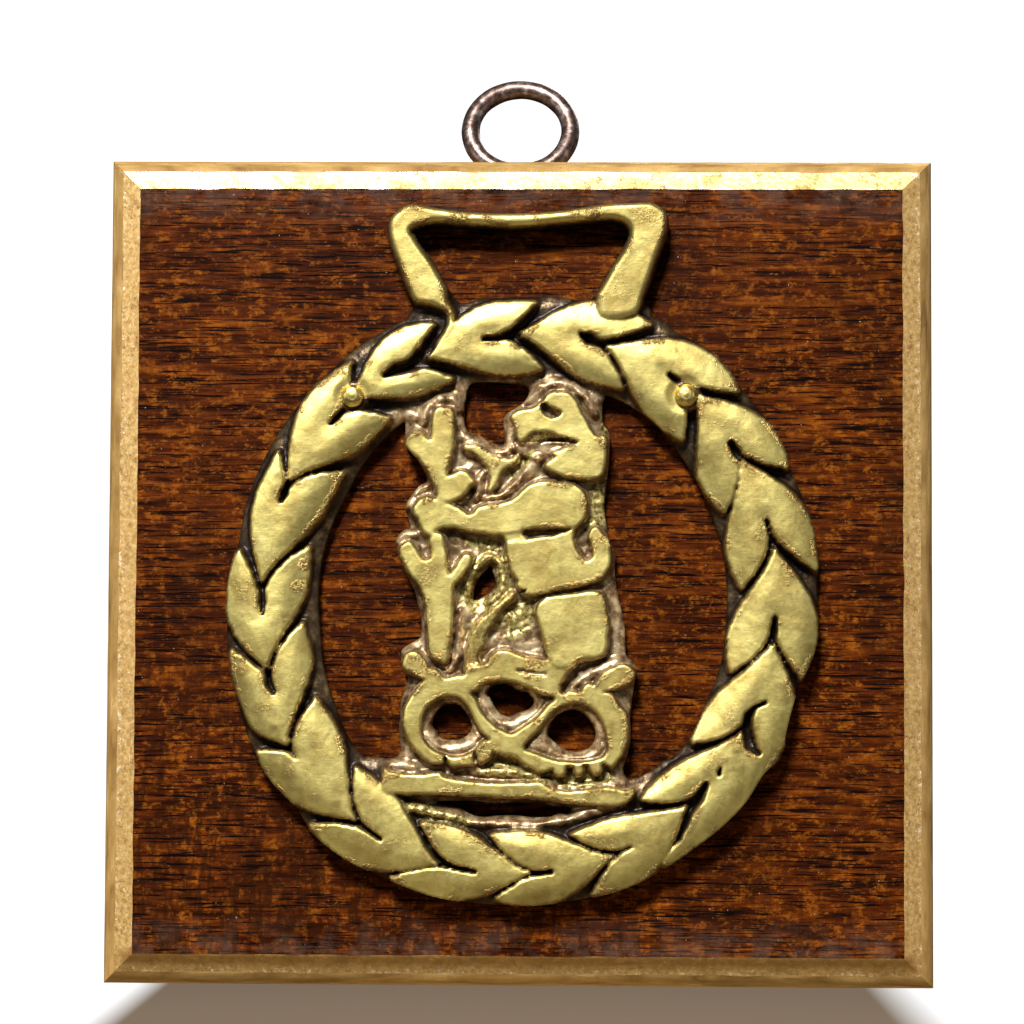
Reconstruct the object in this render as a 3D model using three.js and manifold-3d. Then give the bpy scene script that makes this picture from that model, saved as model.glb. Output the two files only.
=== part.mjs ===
// A cast horse brass, a laurel wreath with a bear and ragged staff over a looped knot,
// pinned to a square wooden plaque that hangs by an eye in its top edge.
//
// Millimetres. The pieces are drawn on the wall plane: x to the right, y up, z out of the wall, with the
// origin in the middle of the plaque's back. The group then turns that plane upright: z up, front at -y.

import * as THREE from "three";
import { mergeVertices } from "three/addons/utils/BufferGeometryUtils.js";
import Module from "manifold-3d";

const wasm = await Module();
wasm.setup();

// ---- driving dimensions ----

const GAP = 0.3; // between pieces that touch
const BOARD = 101.6; // side of the square plaque, 4 in
const BOARD_THICK = 19.05; // 3/4 in
const FACE = 93.8; // side of the flat face inside the bevels
const CREASE = 98.3; // side of the line where the two bevels meet
const CREASE_DROP = 1.1; // the line's depth behind the face
const RIM_DROP = 2.7; // depth at which the plaque reaches its full size

const BRASS_BACK = BOARD_THICK + GAP;
const GROUND = 2.0; // thickness of the cast ground that everything stands on
const LEAF_TOP = 3.9;
const FIGURE_TOP = 3.7;
const BAR_TOP = 3.6;
const STRAP_TOP = 3.7;
const CHAIN_TOP = 3.2;
const FOOT = 1.0; // raised shapes start this deep, inside the ground
const LEAF_BEVEL = 0.4; // bevels round the raised shapes' fronts
const STRAP_BEVEL = 0.7;
const FIGURE_BEVEL = 0.3;
const CHAIN_BEVEL = 0.1;

const WREATH_X = 0.5; // centre of the wreath on the plaque
const WREATH_Y = -3.6;
const SLIT = 0.5; // width of the cut between a pair's two leaves, at its root

const PINS = [[-20.2, 20.9], [20.2, 21.1]];
const PIN_HEAD = 2.75; // diameter
const PIN_DOME = 1.15; // height of the head
const PIN_SHANK = 1.2; // diameter
const PIN_LENGTH = 13.0; // under the head
const PIN_POINT = 1.5; // length of the tapered end
const PIN_SEAT = 3.3; // the brass is flat under each head, at this thickness

const EYE_X = -0.3;
const EYE_RADIUS = 6.4; // to the middle of the wire
const EYE_WIRE = 2.36; // diameter
const EYE_LEAN = 24; // degrees that the ring leans back to the wall
const EYE_OUT = 6.5; // the screw's distance from the wall
const EYE_LOW = 0.25; // the wire's middle above the plaque's edge, at the ring's lowest point
const EYE_SCREW = 13.0; // length of the shank in the wood
const EYE_POINT = 2.5; // length of the tapered end

// ---- materials ----

const metal = (color, roughness) => new THREE.MeshStandardMaterial({ color, roughness, metalness: 1.0 });
const BRASS = metal(0xb9a25c, 0.35);
const PIN_BRASS = metal(0xd2b455, 0.25);
const DARK_METAL = metal(0x2e2622, 0.3);
const MAHOGANY = new THREE.MeshStandardMaterial({ color: 0x4f2412, roughness: 0.45, metalness: 0.0 });

// ---- solids ----

/** A closed manifold solid from any three.js geometry. */
function solid(geometry) {
  const bare = geometry.clone();
  for (const name of ["normal", "uv"]) bare.deleteAttribute(name);
  const merged = mergeVertices(bare, 1e-4);
  const vertProperties = new Float32Array(merged.attributes.position.array);
  const triVerts = new Uint32Array(merged.index.array);
  return new wasm.Manifold(new wasm.Mesh({ numProp: 3, vertProperties, triVerts }));
}

/** A three.js geometry from a manifold solid. */
function geometryOf(body) {
  const { vertProperties, triVerts } = body.getMesh();
  const geometry = new THREE.BufferGeometry();
  geometry.setAttribute("position", new THREE.BufferAttribute(new Float32Array(vertProperties), 3));
  geometry.setIndex(new THREE.BufferAttribute(new Uint32Array(triVerts), 1));
  geometry.computeVertexNormals();
  return geometry;
}

const together = (bodies) => bodies.reduce((sum, body) => sum.add(body));

/** A slab of an outline between two heights, its front edge rounded over by `round` in `steps` facets. */
function slab(outline, low, high, round = 0, steps = 1) {
  const depth = high - low - 2 * round;
  const geometry = new THREE.ExtrudeGeometry(new THREE.Shape(outline), {
    depth, bevelEnabled: round > 0, bevelSegments: steps, bevelSize: round, bevelOffset: -round,
    bevelThickness: round,
  });
  return solid(geometry.translate(0, 0, low + round));
}

/** A round bar along z. */
function rod(x, y, low, high, radius, sides = 16) {
  const geometry = new THREE.CylinderGeometry(radius, radius, high - low, sides);
  return solid(geometry.rotateX(Math.PI / 2).translate(x, y, (low + high) / 2));
}

// ---- outlines ----

/** A smooth closed outline through the points, with `cuts` straight pieces from each to the next. */
function smooth(points, cuts = 1) {
  const through = points.map(([x, y]) => new THREE.Vector3(x, y, 0));
  const curve = new THREE.CatmullRomCurve3(through, true, "centripetal");
  const ring = curve.getPoints(points.length * cuts).slice(0, -1);
  return ring.map((p) => new THREE.Vector2(p.x, p.y));
}

/** A place on the wreath: degrees clockwise from the top, and distance from its centre. */
function onWreath([degrees, radius]) {
  const turn = THREE.MathUtils.degToRad(degrees);
  return [WREATH_X + radius * Math.sin(turn), WREATH_Y + radius * Math.cos(turn)];
}

const RIM_OUTER = [
  [0, 36.9], [28, 37.5], [45, 37.0], [68, 36.1], [90, 35.7], [110, 35.2], [130, 35.9], [150, 36.6],
  [175, 36.9], [200, 37.4], [218, 37.8], [240, 37.2], [262, 36.1], [283, 35.4], [305, 36.0], [335, 37.0],
];
const RIM_INNER = [
  [0, 26.4], [30, 26.9], [55, 25.7], [92, 24.8], [112, 25.5], [132, 26.4], [150, 25.6], [180, 25.4],
  [210, 26.0], [227, 27.1], [245, 25.9], [270, 24.9], [300, 25.1], [325, 26.0], [345, 26.5],
];

// Each row is one pair of leaves, clockwise: the notch between its two leaves and the root of the next
// pair, which grows from that notch, then each leaf's tip and the radius that its edge swells to.
const LEAF_PAIRS = [
  { notch: [-8.4, 32.0], next: [-0.8, 32.1], outer: [2.4, 36.1, 36.2], inner: [4.6, 28.0, 27.3] },
  { notch: [12.3, 32.5], next: [18.3, 32.2], outer: [24.8, 36.8, 37.5], inner: [25.0, 28.3, 27.7] },
  { notch: [33.0, 32.6], next: [40.3, 32.4], outer: [46.0, 36.3, 37.5], inner: [45.0, 27.3, 26.7] },
  { notch: [53.2, 31.6], next: [57.2, 31.3], outer: [63.6, 35.8, 36.7], inner: [66.5, 26.5, 25.7] },
  { notch: [72.0, 31.0], next: [78.5, 31.0], outer: [84.2, 35.7, 36.1], inner: [86.8, 26.5, 25.4] },
  { notch: [94.0, 30.5], next: [99.7, 30.6], outer: [105.8, 35.0, 35.9], inner: [109.0, 26.6, 25.3] },
  { notch: [114.7, 31.0], next: [120.8, 31.0], outer: [124.5, 36.2, 36.2], inner: [130.0, 26.8, 25.9] },
  { notch: [135.0, 31.7], next: [141.5, 31.8], outer: [148.0, 36.0, 36.5], inner: [149.0, 28.1, 27.2] },
  { notch: [156.0, 32.6], next: [160.2, 32.8], outer: [166.3, 36.6, 37.0], inner: [168.0, 28.9, 28.5] },
  { notch: [173.8, 33.0], next: [178.2, 33.0], outer: [184.8, 36.3, 36.9], inner: [187.3, 28.7, 28.0] },
  { notch: [191.3, 33.2], next: [197.2, 33.6], outer: [205.0, 37.2, 37.5], inner: [203.8, 29.6, 28.7] },
  { notch: [211.5, 33.5], next: [216.8, 33.4], outer: [223.0, 37.5, 38.0], inner: [224.4, 28.6, 28.1] },
  { notch: [234.5, 33.4], next: [238.0, 33.4], outer: [239.8, 37.0, 37.5], inner: [244.0, 27.7, 27.3] },
  { notch: [249.5, 32.0], next: [254.3, 32.0], outer: [259.8, 35.9, 36.3], inner: [263.3, 26.8, 26.4] },
  { notch: [266.9, 31.7], next: [273.3, 31.6], outer: [279.5, 34.8, 35.8], inner: [283.4, 26.5, 26.1] },
  { notch: [292.2, 31.6], next: [296.3, 31.8], outer: [300.8, 34.6, 34.7], inner: [305.0, 26.5, 26.3] },
  { notch: [312.3, 31.6], next: [319.5, 31.8], outer: [323.8, 35.5, 36.0], inner: [323.5, 27.2, 26.7] },
  { notch: [328.3, 31.7], next: [338.0, 31.5], outer: [341.8, 35.1, 36.0], inner: [342.0, 28.0, 27.7] },
];

/** How far a leaf's edge has swelled at a part of its length, from 0 at the root to 1 by two thirds. */
const swell = (part) => Math.sin((Math.PI / 2) * Math.min(1, part / 0.68) ** 1.15);

/** One side of a pair: from the root along the leaf's edge to its tip, and back to the notch. */
function leafSide(root, notch, [tip, tipRadius, fullRadius], side) {
  const edge = [0.06, 0.16, 0.3, 0.44, 0.58, 0.74, 0.9].map((part) => {
    const drop = (tipRadius - fullRadius) * Math.max(0, (part - 0.74) / 0.26) ** 2;
    return [root[0] + part * (tip - root[0]), root[1] + (fullRadius - root[1]) * swell(part) + drop];
  });
  const start = notch[1] + (side * SLIT) / 2;
  const back = [0.9, 0.7, 0.45, 0.2, 0].map((part) => (
    [notch[0] + part * (tip - notch[0]), start + (tipRadius - start) * part ** 2.2]
  ));
  return [...edge, [tip, tipRadius], ...back];
}

/** The outline of one pair of leaves. */
function leafPair(before, pair) {
  const turned = before.next[0] > pair.notch[0] ? -360 : 0;
  const root = [before.next[0] + turned, before.next[1]];
  const outer = leafSide(root, pair.notch, pair.outer, 1);
  const inner = leafSide(root, pair.notch, pair.inner, -1);
  const places = [root, ...outer, ...inner.reverse()];
  return places.map((place) => new THREE.Vector2(...onWreath(place)));
}

const STRAP = [
  [-15.6, 28.5], [-13.6, 30.8], [-12.9, 32.4], [-14.0, 34.3], [-15.2, 37.0], [-16.1, 40.0], [-16.1, 42.2],
  [-15.3, 43.8], [-13.3, 44.7], [-10.0, 44.3], [-5.6, 43.8], [0, 43.6], [5.6, 44.0], [10.0, 44.7],
  [13.5, 45.0], [16.3, 44.8], [17.8, 43.6], [18.2, 41.8], [17.7, 39.6], [16.8, 37.2], [16.0, 34.8],
  [15.2, 32.8], [16.2, 31.4], [18.5, 29.2], [8.0, 30.5], [0, 31.5], [-8.0, 30.5],
];
const STRAP_SLOT = [
  [-12.7, 41.2], [-12.0, 41.9], [-10.0, 42.0], [-5.6, 41.7], [0, 41.5], [5.6, 42.0], [10.0, 42.4],
  [12.4, 42.2], [13.2, 41.1], [12.5, 39.0], [11.1, 36.7], [9.7, 34.4], [8.4, 33.1], [6.5, 33.2],
  [3.0, 33.4], [-1.0, 33.4], [-4.5, 33.1], [-6.7, 32.8], [-7.8, 33.3], [-9.2, 35.4], [-10.5, 37.5],
  [-11.8, 39.4],
];

const PANEL = [
  [-16.5, 20.0], [-14.1, 18.0], [-13.8, 15.2], [-12.5, 13.4], [-11.2, 10.9], [-12.0, 10.2], [-13.3, 8.8],
  [-13.9, 6.8], [-13.2, 5.2], [-14.2, 4.6], [-14.9, 3.0], [-14.2, 0.8], [-13.2, -1.5], [-12.2, -4.2],
  [-11.8, -7.8], [-13.4, -9.2], [-14.2, -10.2], [-13.9, -12.4], [-13.6, -14.4], [-14.3, -17.5],
  [-14.2, -21.5], [-14.8, -22.9], [-17.5, -22.9], [-21.0, -22.0], [-23.0, -25.0], [-15.0, -32.0],
  [0, -34.5], [15.0, -32.0], [23.5, -23.0], [20.5, -21.8], [17.6, -23.3], [15.5, -24.8], [13.4, -25.3],
  [12.7, -24.4], [13.4, -22.0], [13.7, -19.5], [13.8, -16.0], [14.2, -13.2], [14.2, -11.8], [13.1, -10.4],
  [13.0, -8.0], [12.3, -4.0], [11.7, 0], [11.7, 2.0], [11.1, 4.0], [10.5, 7.0], [10.6, 10.0], [11.1, 14.5],
  [10.6, 17.4], [10.2, 20.0], [10.0, 24.0], [4.0, 26.0], [-6.0, 26.0], [-14.0, 24.0],
];
const TOP_OPENING = [
  [-6.6, 22.0], [-6.7, 19.5], [-6.5, 17.4], [-5.2, 16.5], [-3.4, 15.5], [-2.0, 15.3], [-1.8, 16.8],
  [-1.7, 18.5], [-0.2, 19.8], [1.0, 21.2], [1.0, 22.3], [-1.5, 22.8], [-5.0, 22.8],
];
const SIDE_OPENING = [[-5.5, -3.3], [-5.2, -1.7], [-4.2, -0.3], [-3.3, 0.5], [-2.8, -1.6], [-3.6, -3.0]];
const BAR_OPENING = [
  [-10.2, -28.3], [-6.0, -28.1], [-2.0, -28.3], [3.0, -28.3], [6.6, -28.9], [4.4, -29.8], [0, -29.9],
  [-4.5, -30.0], [-7.0, -29.0],
];
const KNOT_OPENINGS = [
  [[-10.4, -18.8], [-9.6, -17.0], [-8.0, -16.3], [-6.4, -17.2], [-5.6, -19.2], [-7.0, -20.6], [-9.4, -20.4]],
  [[-3.7, -15.0], [-2.4, -13.9], [0, -14.6], [1.9, -15.9], [0.6, -17.2], [-1.6, -17.8], [-3.0, -16.2]],
  [
    [3.7, -20.0], [4.6, -17.9], [6.7, -17.0], [8.6, -18.1], [9.4, -19.8], [8.4, -21.7], [6.4, -22.0],
    [4.6, -21.1],
  ],
];

const STAFF_ABOVE = [
  [-10.4, 18.8], [-9.6, 19.6], [-8.6, 19.5], [-7.9, 18.8], [-7.9, 15.5], [-8.3, 13.3], [-8.7, 11.4],
  [-7.9, 11.5], [-6.6, 11.8], [-5.4, 10.7], [-6.4, 9.2], [-7.9, 8.0], [-9.7, 7.6], [-10.1, 10.0],
  [-11.6, 12.7], [-13.3, 14.2], [-13.7, 15.3], [-12.5, 16.8], [-11.4, 16.1], [-10.7, 15.5], [-10.5, 16.6],
];
const STAFF_BELOW = [
  [-14.4, 2.3], [-13.4, 3.2], [-12.5, 2.3], [-11.4, 1.0], [-10.5, 1.5], [-10.8, 4.6], [-9.2, 4.6],
  [-8.8, 2.0], [-8.4, -0.8], [-7.4, 0.3], [-6.3, 1.7], [-5.7, 1.1], [-6.8, -0.8], [-7.9, -2.2],
  [-8.0, -6.0], [-8.4, -10.5], [-9.2, -11.2], [-10.3, -10.6], [-10.9, -7.5], [-11.4, -3.2],
  [-12.6, -1.3], [-13.9, 0.7],
];
const ARM = [
  [-12.6, 7.0], [-11.8, 8.5], [-10.6, 8.6], [-8.5, 7.8], [-6.0, 6.5], [-4.6, 7.5], [-1.4, 8.0], [0.2, 9.3],
  [2.0, 10.4], [4.5, 10.6], [7.0, 10.1], [8.3, 8.3], [8.0, 6.2], [6.6, 5.1], [3.0, 5.0], [0.4, 4.7],
  [-1.4, 4.1], [-4.0, 4.3], [-8.0, 5.1], [-10.8, 4.2], [-12.0, 5.6],
];
const HEAD = [
  [-0.9, 18.2], [0.3, 19.2], [2.0, 19.6], [3.2, 20.7], [4.4, 21.4], [5.9, 21.3], [7.0, 20.2], [7.8, 18.5],
  [8.7, 16.8], [9.6, 16.1], [10.7, 16.1], [11.0, 14.6], [10.7, 12.1], [9.2, 11.0], [6.5, 11.0], [4.2, 11.8],
  [3.3, 12.6], [4.4, 13.6], [5.0, 14.3], [7.2, 15.2], [6.9, 15.7], [5.0, 16.2], [3.2, 16.5], [1.6, 15.6],
  [0.5, 15.0], [-0.1, 16.2],
];
const TORSO = [
  [-1.2, 3.2], [-0.6, 5.0], [0.2, 4.8], [0.6, 3.6], [2.0, 3.8], [4.0, 4.0], [6.0, 4.3], [6.9, 2.6],
  [8.0, 1.0], [8.9, 1.4], [9.0, 2.6], [8.5, 4.2], [9.2, 5.0], [10.4, 4.2], [11.1, 2.4], [11.0, 0.4],
  [9.8, -1.2], [7.0, -2.1], [4.0, -2.6], [1.6, -3.1], [0.1, -2.0], [-0.8, -0.2], [-1.3, 1.6],
];
const THIGH = [
  [2.3, -4.8], [3.4, -3.4], [6.5, -3.0], [9.4, -2.7], [10.5, -3.8], [10.9, -6.5], [10.7, -9.6],
  [9.6, -10.7], [7.2, -11.2], [5.3, -12.3], [4.4, -12.2], [3.5, -9.8], [2.8, -7.2],
];
const FORELEG = [
  [-5.4, -7.8], [-3.9, -6.3], [-1.8, -4.7], [-2.6, -6.2], [-3.9, -7.6], [-4.2, -9.5], [-4.5, -11.4],
  [-5.2, -12.8], [-6.1, -12.4], [-6.1, -10.4],
];
const MUZZLE_CHAIN = [
  [-6.7, 14.9], [-4.8, 14.5], [-2.4, 13.4], [-0.6, 13.3], [-0.6, 12.8], [-2.0, 12.0], [-2.7, 10.6],
  [-3.6, 9.4], [-3.4, 11.0], [-4.0, 12.7], [-5.2, 13.9], [-6.6, 14.4],
];
const BASE_BAR = [
  [-16.2, -24.2], [-14.5, -24.8], [-10.5, -24.9], [-9.0, -24.9], [-7.5, -25.5], [-3.0, -25.9], [2.8, -25.8],
  [4.0, -26.6], [6.5, -26.8], [10.2, -26.3], [12.5, -26.6], [14.0, -26.5], [13.3, -27.9], [11.5, -28.3],
  [7.0, -28.1], [2.0, -27.5], [-5.0, -27.2], [-14.0, -27.0], [-16.1, -26.6],
];
const KNOT = [
  [-13.9, -11.0], [-13.1, -10.1], [-11.9, -10.6], [-10.5, -12.1], [-9.2, -13.0], [-8.0, -13.2],
  [-6.4, -12.8], [-5.6, -11.9], [-4.0, -11.5], [-3.0, -10.2], [-1.4, -9.9], [1.4, -10.8], [4.0, -11.4],
  [4.9, -12.6], [5.1, -14.7], [5.5, -15.2], [7.6, -14.8], [8.5, -13.9], [9.3, -13.9], [10.4, -12.5],
  [12.4, -11.5], [13.8, -12.0], [13.8, -13.4], [11.8, -14.4], [10.7, -14.9], [12.2, -16.2],
  [13.2, -17.8], [13.2, -20.8], [12.2, -22.9], [10.6, -23.7], [9.6, -24.6], [8.6, -24.2], [7.5, -24.8],
  [6.4, -24.3], [5.2, -24.9], [3.9, -24.3], [2.2, -24.3], [0, -22.7], [-3.0, -22.1], [-3.9, -23.2],
  [-5.2, -23.5], [-7.6, -23.8], [-10.2, -23.4], [-12.4, -21.8], [-13.7, -18.6], [-13.1, -15.9],
  [-11.4, -13.6], [-13.4, -12.5],
];
const KNOT_LIPS = [
  [
    [-11.7, -18.8], [-10.9, -16.7], [-9.3, -15.6], [-7.3, -15.6], [-5.8, -17.1], [-4.6, -19.4],
    [-3.5, -20.6], [-5.3, -22.0], [-7.5, -22.7], [-9.9, -22.0], [-11.3, -20.6],
  ],
  [
    [-5.4, -15.0], [-4.2, -13.9], [-1.5, -13.5], [1.5, -14.4], [4.3, -15.5], [3.0, -17.2], [1.2, -18.8],
    [-0.7, -19.8], [-2.9, -18.8], [-4.6, -16.9],
  ],
  [
    [0.8, -21.5], [2.5, -19.5], [4.2, -17.4], [6.5, -16.2], [8.7, -16.7], [10.2, -18.5], [11.0, -21.5],
    [9.5, -23.0], [7.0, -23.5], [3.8, -22.9],
  ],
];

// ---- the casting ----

/** The part of a body in front of the casting's flat back. */
const aheadOfBack = (body) => body.trimByPlane([0, 0, 1], 0);

function cutThrough(body, outlines) {
  const cutters = outlines.map((points) => slab(smooth(points), -1, STRAP_TOP + 1));
  return cutters.reduce((left, cutter) => left.subtract(cutter), body);
}

function wreathGround() {
  const outer = slab(smooth(RIM_OUTER.map(onWreath), 4), 0, GROUND);
  const inner = slab(smooth(RIM_INNER.map(onWreath), 4), -1, GROUND + 1);
  return outer.subtract(inner);
}

function leaves() {
  const pads = LEAF_PAIRS.map((pair, i) => {
    const before = LEAF_PAIRS.at(i - 1);
    return slab(leafPair(before, pair), -1, LEAF_TOP, LEAF_BEVEL);
  });
  return aheadOfBack(together(pads));
}

const strapLoop = () => aheadOfBack(slab(smooth(STRAP), -1, STRAP_TOP, STRAP_BEVEL, 2));

/** A flat-topped raised shape with a softened edge, its foot inside the ground. */
const raised = (points, top = FIGURE_TOP, bevel = FIGURE_BEVEL) => slab(smooth(points), FOOT, top, bevel);

function bearAndStaff() {
  const limbs = [STAFF_ABOVE, STAFF_BELOW, ARM, HEAD, TORSO, THIGH, FORELEG].map((points) => raised(points));
  return together([...limbs, raised(MUZZLE_CHAIN, CHAIN_TOP, CHAIN_BEVEL)]);
}

function knot() {
  const band = raised(KNOT);
  const lips = KNOT_LIPS.map((points) => slab(smooth(points), GROUND, FIGURE_TOP + 1));
  return lips.reduce((left, cutter) => left.subtract(cutter), band);
}

/** Where a pin goes through: a hole and a flat seat for its head. */
function pinPlaces(body) {
  return PINS.reduce((left, [x, y]) => {
    const hole = rod(x, y, -1, LEAF_TOP + 1, PIN_SHANK / 2 + GAP);
    const seat = rod(x, y, PIN_SEAT, LEAF_TOP + 1, PIN_HEAD / 2 + GAP, 24);
    return left.subtract(hole).subtract(seat);
  }, body);
}

function brass() {
  const ground = together([wreathGround(), slab(smooth(PANEL), 0, GROUND)]);
  const openings = [TOP_OPENING, SIDE_OPENING, BAR_OPENING, ...KNOT_OPENINGS];
  const pierced = cutThrough(ground, openings);
  const relief = together([leaves(), bearAndStaff(), knot(), raised(BASE_BAR, BAR_TOP)]);
  const cast = cutThrough(together([pierced, strapLoop()]), [STRAP_SLOT]).add(relief);
  return pinPlaces(cast).translate(0, 0, BRASS_BACK);
}

// ---- the plaque, the pins and the eye ----

/** A bar as long as the plaque with the plaque's bevelled section. */
function sectionBar() {
  const half = [[BOARD / 2, 0], [BOARD / 2, BOARD_THICK - RIM_DROP], [CREASE / 2, BOARD_THICK - CREASE_DROP],
    [FACE / 2, BOARD_THICK]];
  const mirrored = half.map(([x, z]) => [-x, z]).reverse();
  const section = new THREE.Shape([...half, ...mirrored].map(([x, z]) => new THREE.Vector2(x, z)));
  const bar = new THREE.ExtrudeGeometry(section, { depth: BOARD, bevelEnabled: false });
  return bar.translate(0, 0, -BOARD / 2).rotateX(Math.PI / 2);
}

/** The eye's ring, its wire made thicker by `extra` where it is used as a cutter. */
function ring(extra = 0) {
  const geometry = new THREE.TorusGeometry(EYE_RADIUS, EYE_WIRE / 2 + extra, 10, 40);
  geometry.translate(0, EYE_RADIUS, 0).rotateX(THREE.MathUtils.degToRad(-EYE_LEAN));
  return solid(geometry.translate(EYE_X, BOARD / 2 + EYE_LOW, EYE_OUT));
}

/** The eye's screw, straight down into the wood, with a pointed end. */
function screw(extra = 0) {
  const radius = EYE_WIRE / 2 + extra;
  const length = EYE_SCREW + extra;
  const profile = [[0, -length], [radius, -length + EYE_POINT], [radius, EYE_LOW], [0, EYE_LOW]];
  const geometry = new THREE.LatheGeometry(profile.map(([r, h]) => new THREE.Vector2(r, h)), 16);
  return solid(geometry.translate(EYE_X, BOARD / 2, EYE_OUT));
}

function plaque() {
  const bar = sectionBar();
  const board = solid(bar).intersect(solid(bar.clone().rotateZ(Math.PI / 2)));
  const holeEnd = BRASS_BACK + PIN_SEAT - PIN_LENGTH; // a gap past the pin's point
  const holes = PINS.map(([x, y]) => rod(x, y, holeEnd, BOARD_THICK + 1, PIN_SHANK / 2 + GAP));
  return [...holes, ring(GAP), screw(GAP)].reduce((left, cutter) => left.subtract(cutter), board);
}

function pin([x, y]) {
  const under = BRASS_BACK + PIN_SEAT + GAP;
  const head = PIN_HEAD / 2;
  const shank = PIN_SHANK / 2;
  const profile = [
    [0, -PIN_LENGTH], [shank, -PIN_LENGTH + PIN_POINT], [shank, 0], [head, 0], [head, 0.2 * PIN_DOME],
    [0.85 * head, 0.62 * PIN_DOME], [0.5 * head, 0.92 * PIN_DOME], [0, PIN_DOME],
  ];
  const geometry = new THREE.LatheGeometry(profile.map(([r, h]) => new THREE.Vector2(r, h)), 20);
  return solid(geometry.rotateX(Math.PI / 2).translate(x, y, under));
}

// ---- the object ----

const horseBrass = new THREE.Group();
horseBrass.rotation.x = Math.PI / 2;

function place(name, body, material) {
  const mesh = new THREE.Mesh(geometryOf(body), material);
  mesh.name = name;
  horseBrass.add(mesh);
}

place("plaque", plaque(), MAHOGANY);
place("horse_brass", brass(), BRASS);
place("pin_left", pin(PINS[0]), PIN_BRASS);
place("pin_right", pin(PINS[1]), PIN_BRASS);
place("hanging_eye", ring().add(screw()), DARK_METAL);

export default horseBrass;
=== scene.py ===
# A cast horse brass on a square wooden plaque with gilded edges, two brass pins and a screw eye.
# Lengths below are in millimetres on the plaque's face, x to the right and z up from the plaque's middle;
# the brass's heights are measured out from its own flat back.

import math

import bmesh
import bpy
import numpy as np
from mathutils import Matrix, Vector
from mathutils.geometry import delaunay_2d_cdt


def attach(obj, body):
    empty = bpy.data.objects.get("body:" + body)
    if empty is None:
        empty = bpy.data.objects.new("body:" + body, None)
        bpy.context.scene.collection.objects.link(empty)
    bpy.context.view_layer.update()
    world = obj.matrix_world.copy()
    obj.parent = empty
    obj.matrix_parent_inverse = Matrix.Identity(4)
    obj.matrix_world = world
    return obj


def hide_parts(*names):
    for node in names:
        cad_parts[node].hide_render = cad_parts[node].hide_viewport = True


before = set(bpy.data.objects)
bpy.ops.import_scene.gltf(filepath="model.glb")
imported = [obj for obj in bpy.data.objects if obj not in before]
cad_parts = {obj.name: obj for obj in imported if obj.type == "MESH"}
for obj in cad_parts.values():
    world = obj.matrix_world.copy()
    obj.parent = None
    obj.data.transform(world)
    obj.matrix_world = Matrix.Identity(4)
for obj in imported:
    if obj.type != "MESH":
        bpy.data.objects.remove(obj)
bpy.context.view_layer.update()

MM = 0.001
FACE_Y = 19.05        # the plaque's face, in front of the wall
HALF = 50.8           # half the plaque's width and height
BACK_Y = 19.35        # the brass's flat back
SIDE_FOOT = 0.35      # height of the foot of the brass's side walls
STEP = 0.2            # spacing of the brass's relief mesh
LEAF_TOP = 3.75
FIGURE_TOP = 3.65
PINS = ((-20.2, 20.9), (20.2, 21.1))
WREATH = (0.5, -3.6)

# ---------------------------------------------------------------- outlines of the casting

RIM_OUTER = [
    (0, 36.9), (14, 37.3), (26, 38), (30, 37.6), (38, 38), (46, 37), (54, 36.9), (60, 36.7), (64, 36.2),
    (72, 36.3), (80, 36.2), (88, 35.8), (98, 36), (107, 35.1), (112, 35.1), (117, 35.7), (121, 36.6),
    (126, 35.9), (133, 36.4), (147, 36.5), (160, 37), (174, 36.9), (186, 37.1), (196, 37.4), (206, 37.6),
    (214, 38), (222, 38), (228, 37.2), (236, 37.6), (247, 37), (256, 36.5), (266, 36.1), (276, 35.6),
    (281, 35.3), (290, 35.7), (306, 36.1), (320, 36.5), (334, 37), (347, 37.2),
]
RIM_INNER = [
    (0, 26.3), (10, 26.3), (24, 27), (38, 26.7), (55, 25.6), (75, 25), (95, 24.9), (110, 25.4), (120, 25.6),
    (133, 26.5), (145, 25.9), (160, 25.5), (180, 25.4), (200, 25.8), (214, 26.2), (227, 27.2), (240, 26.2),
    (250, 25.6), (262, 24.9), (280, 24.9), (300, 25), (308, 25.4), (325, 26.1), (345, 26.5),
]

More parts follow.
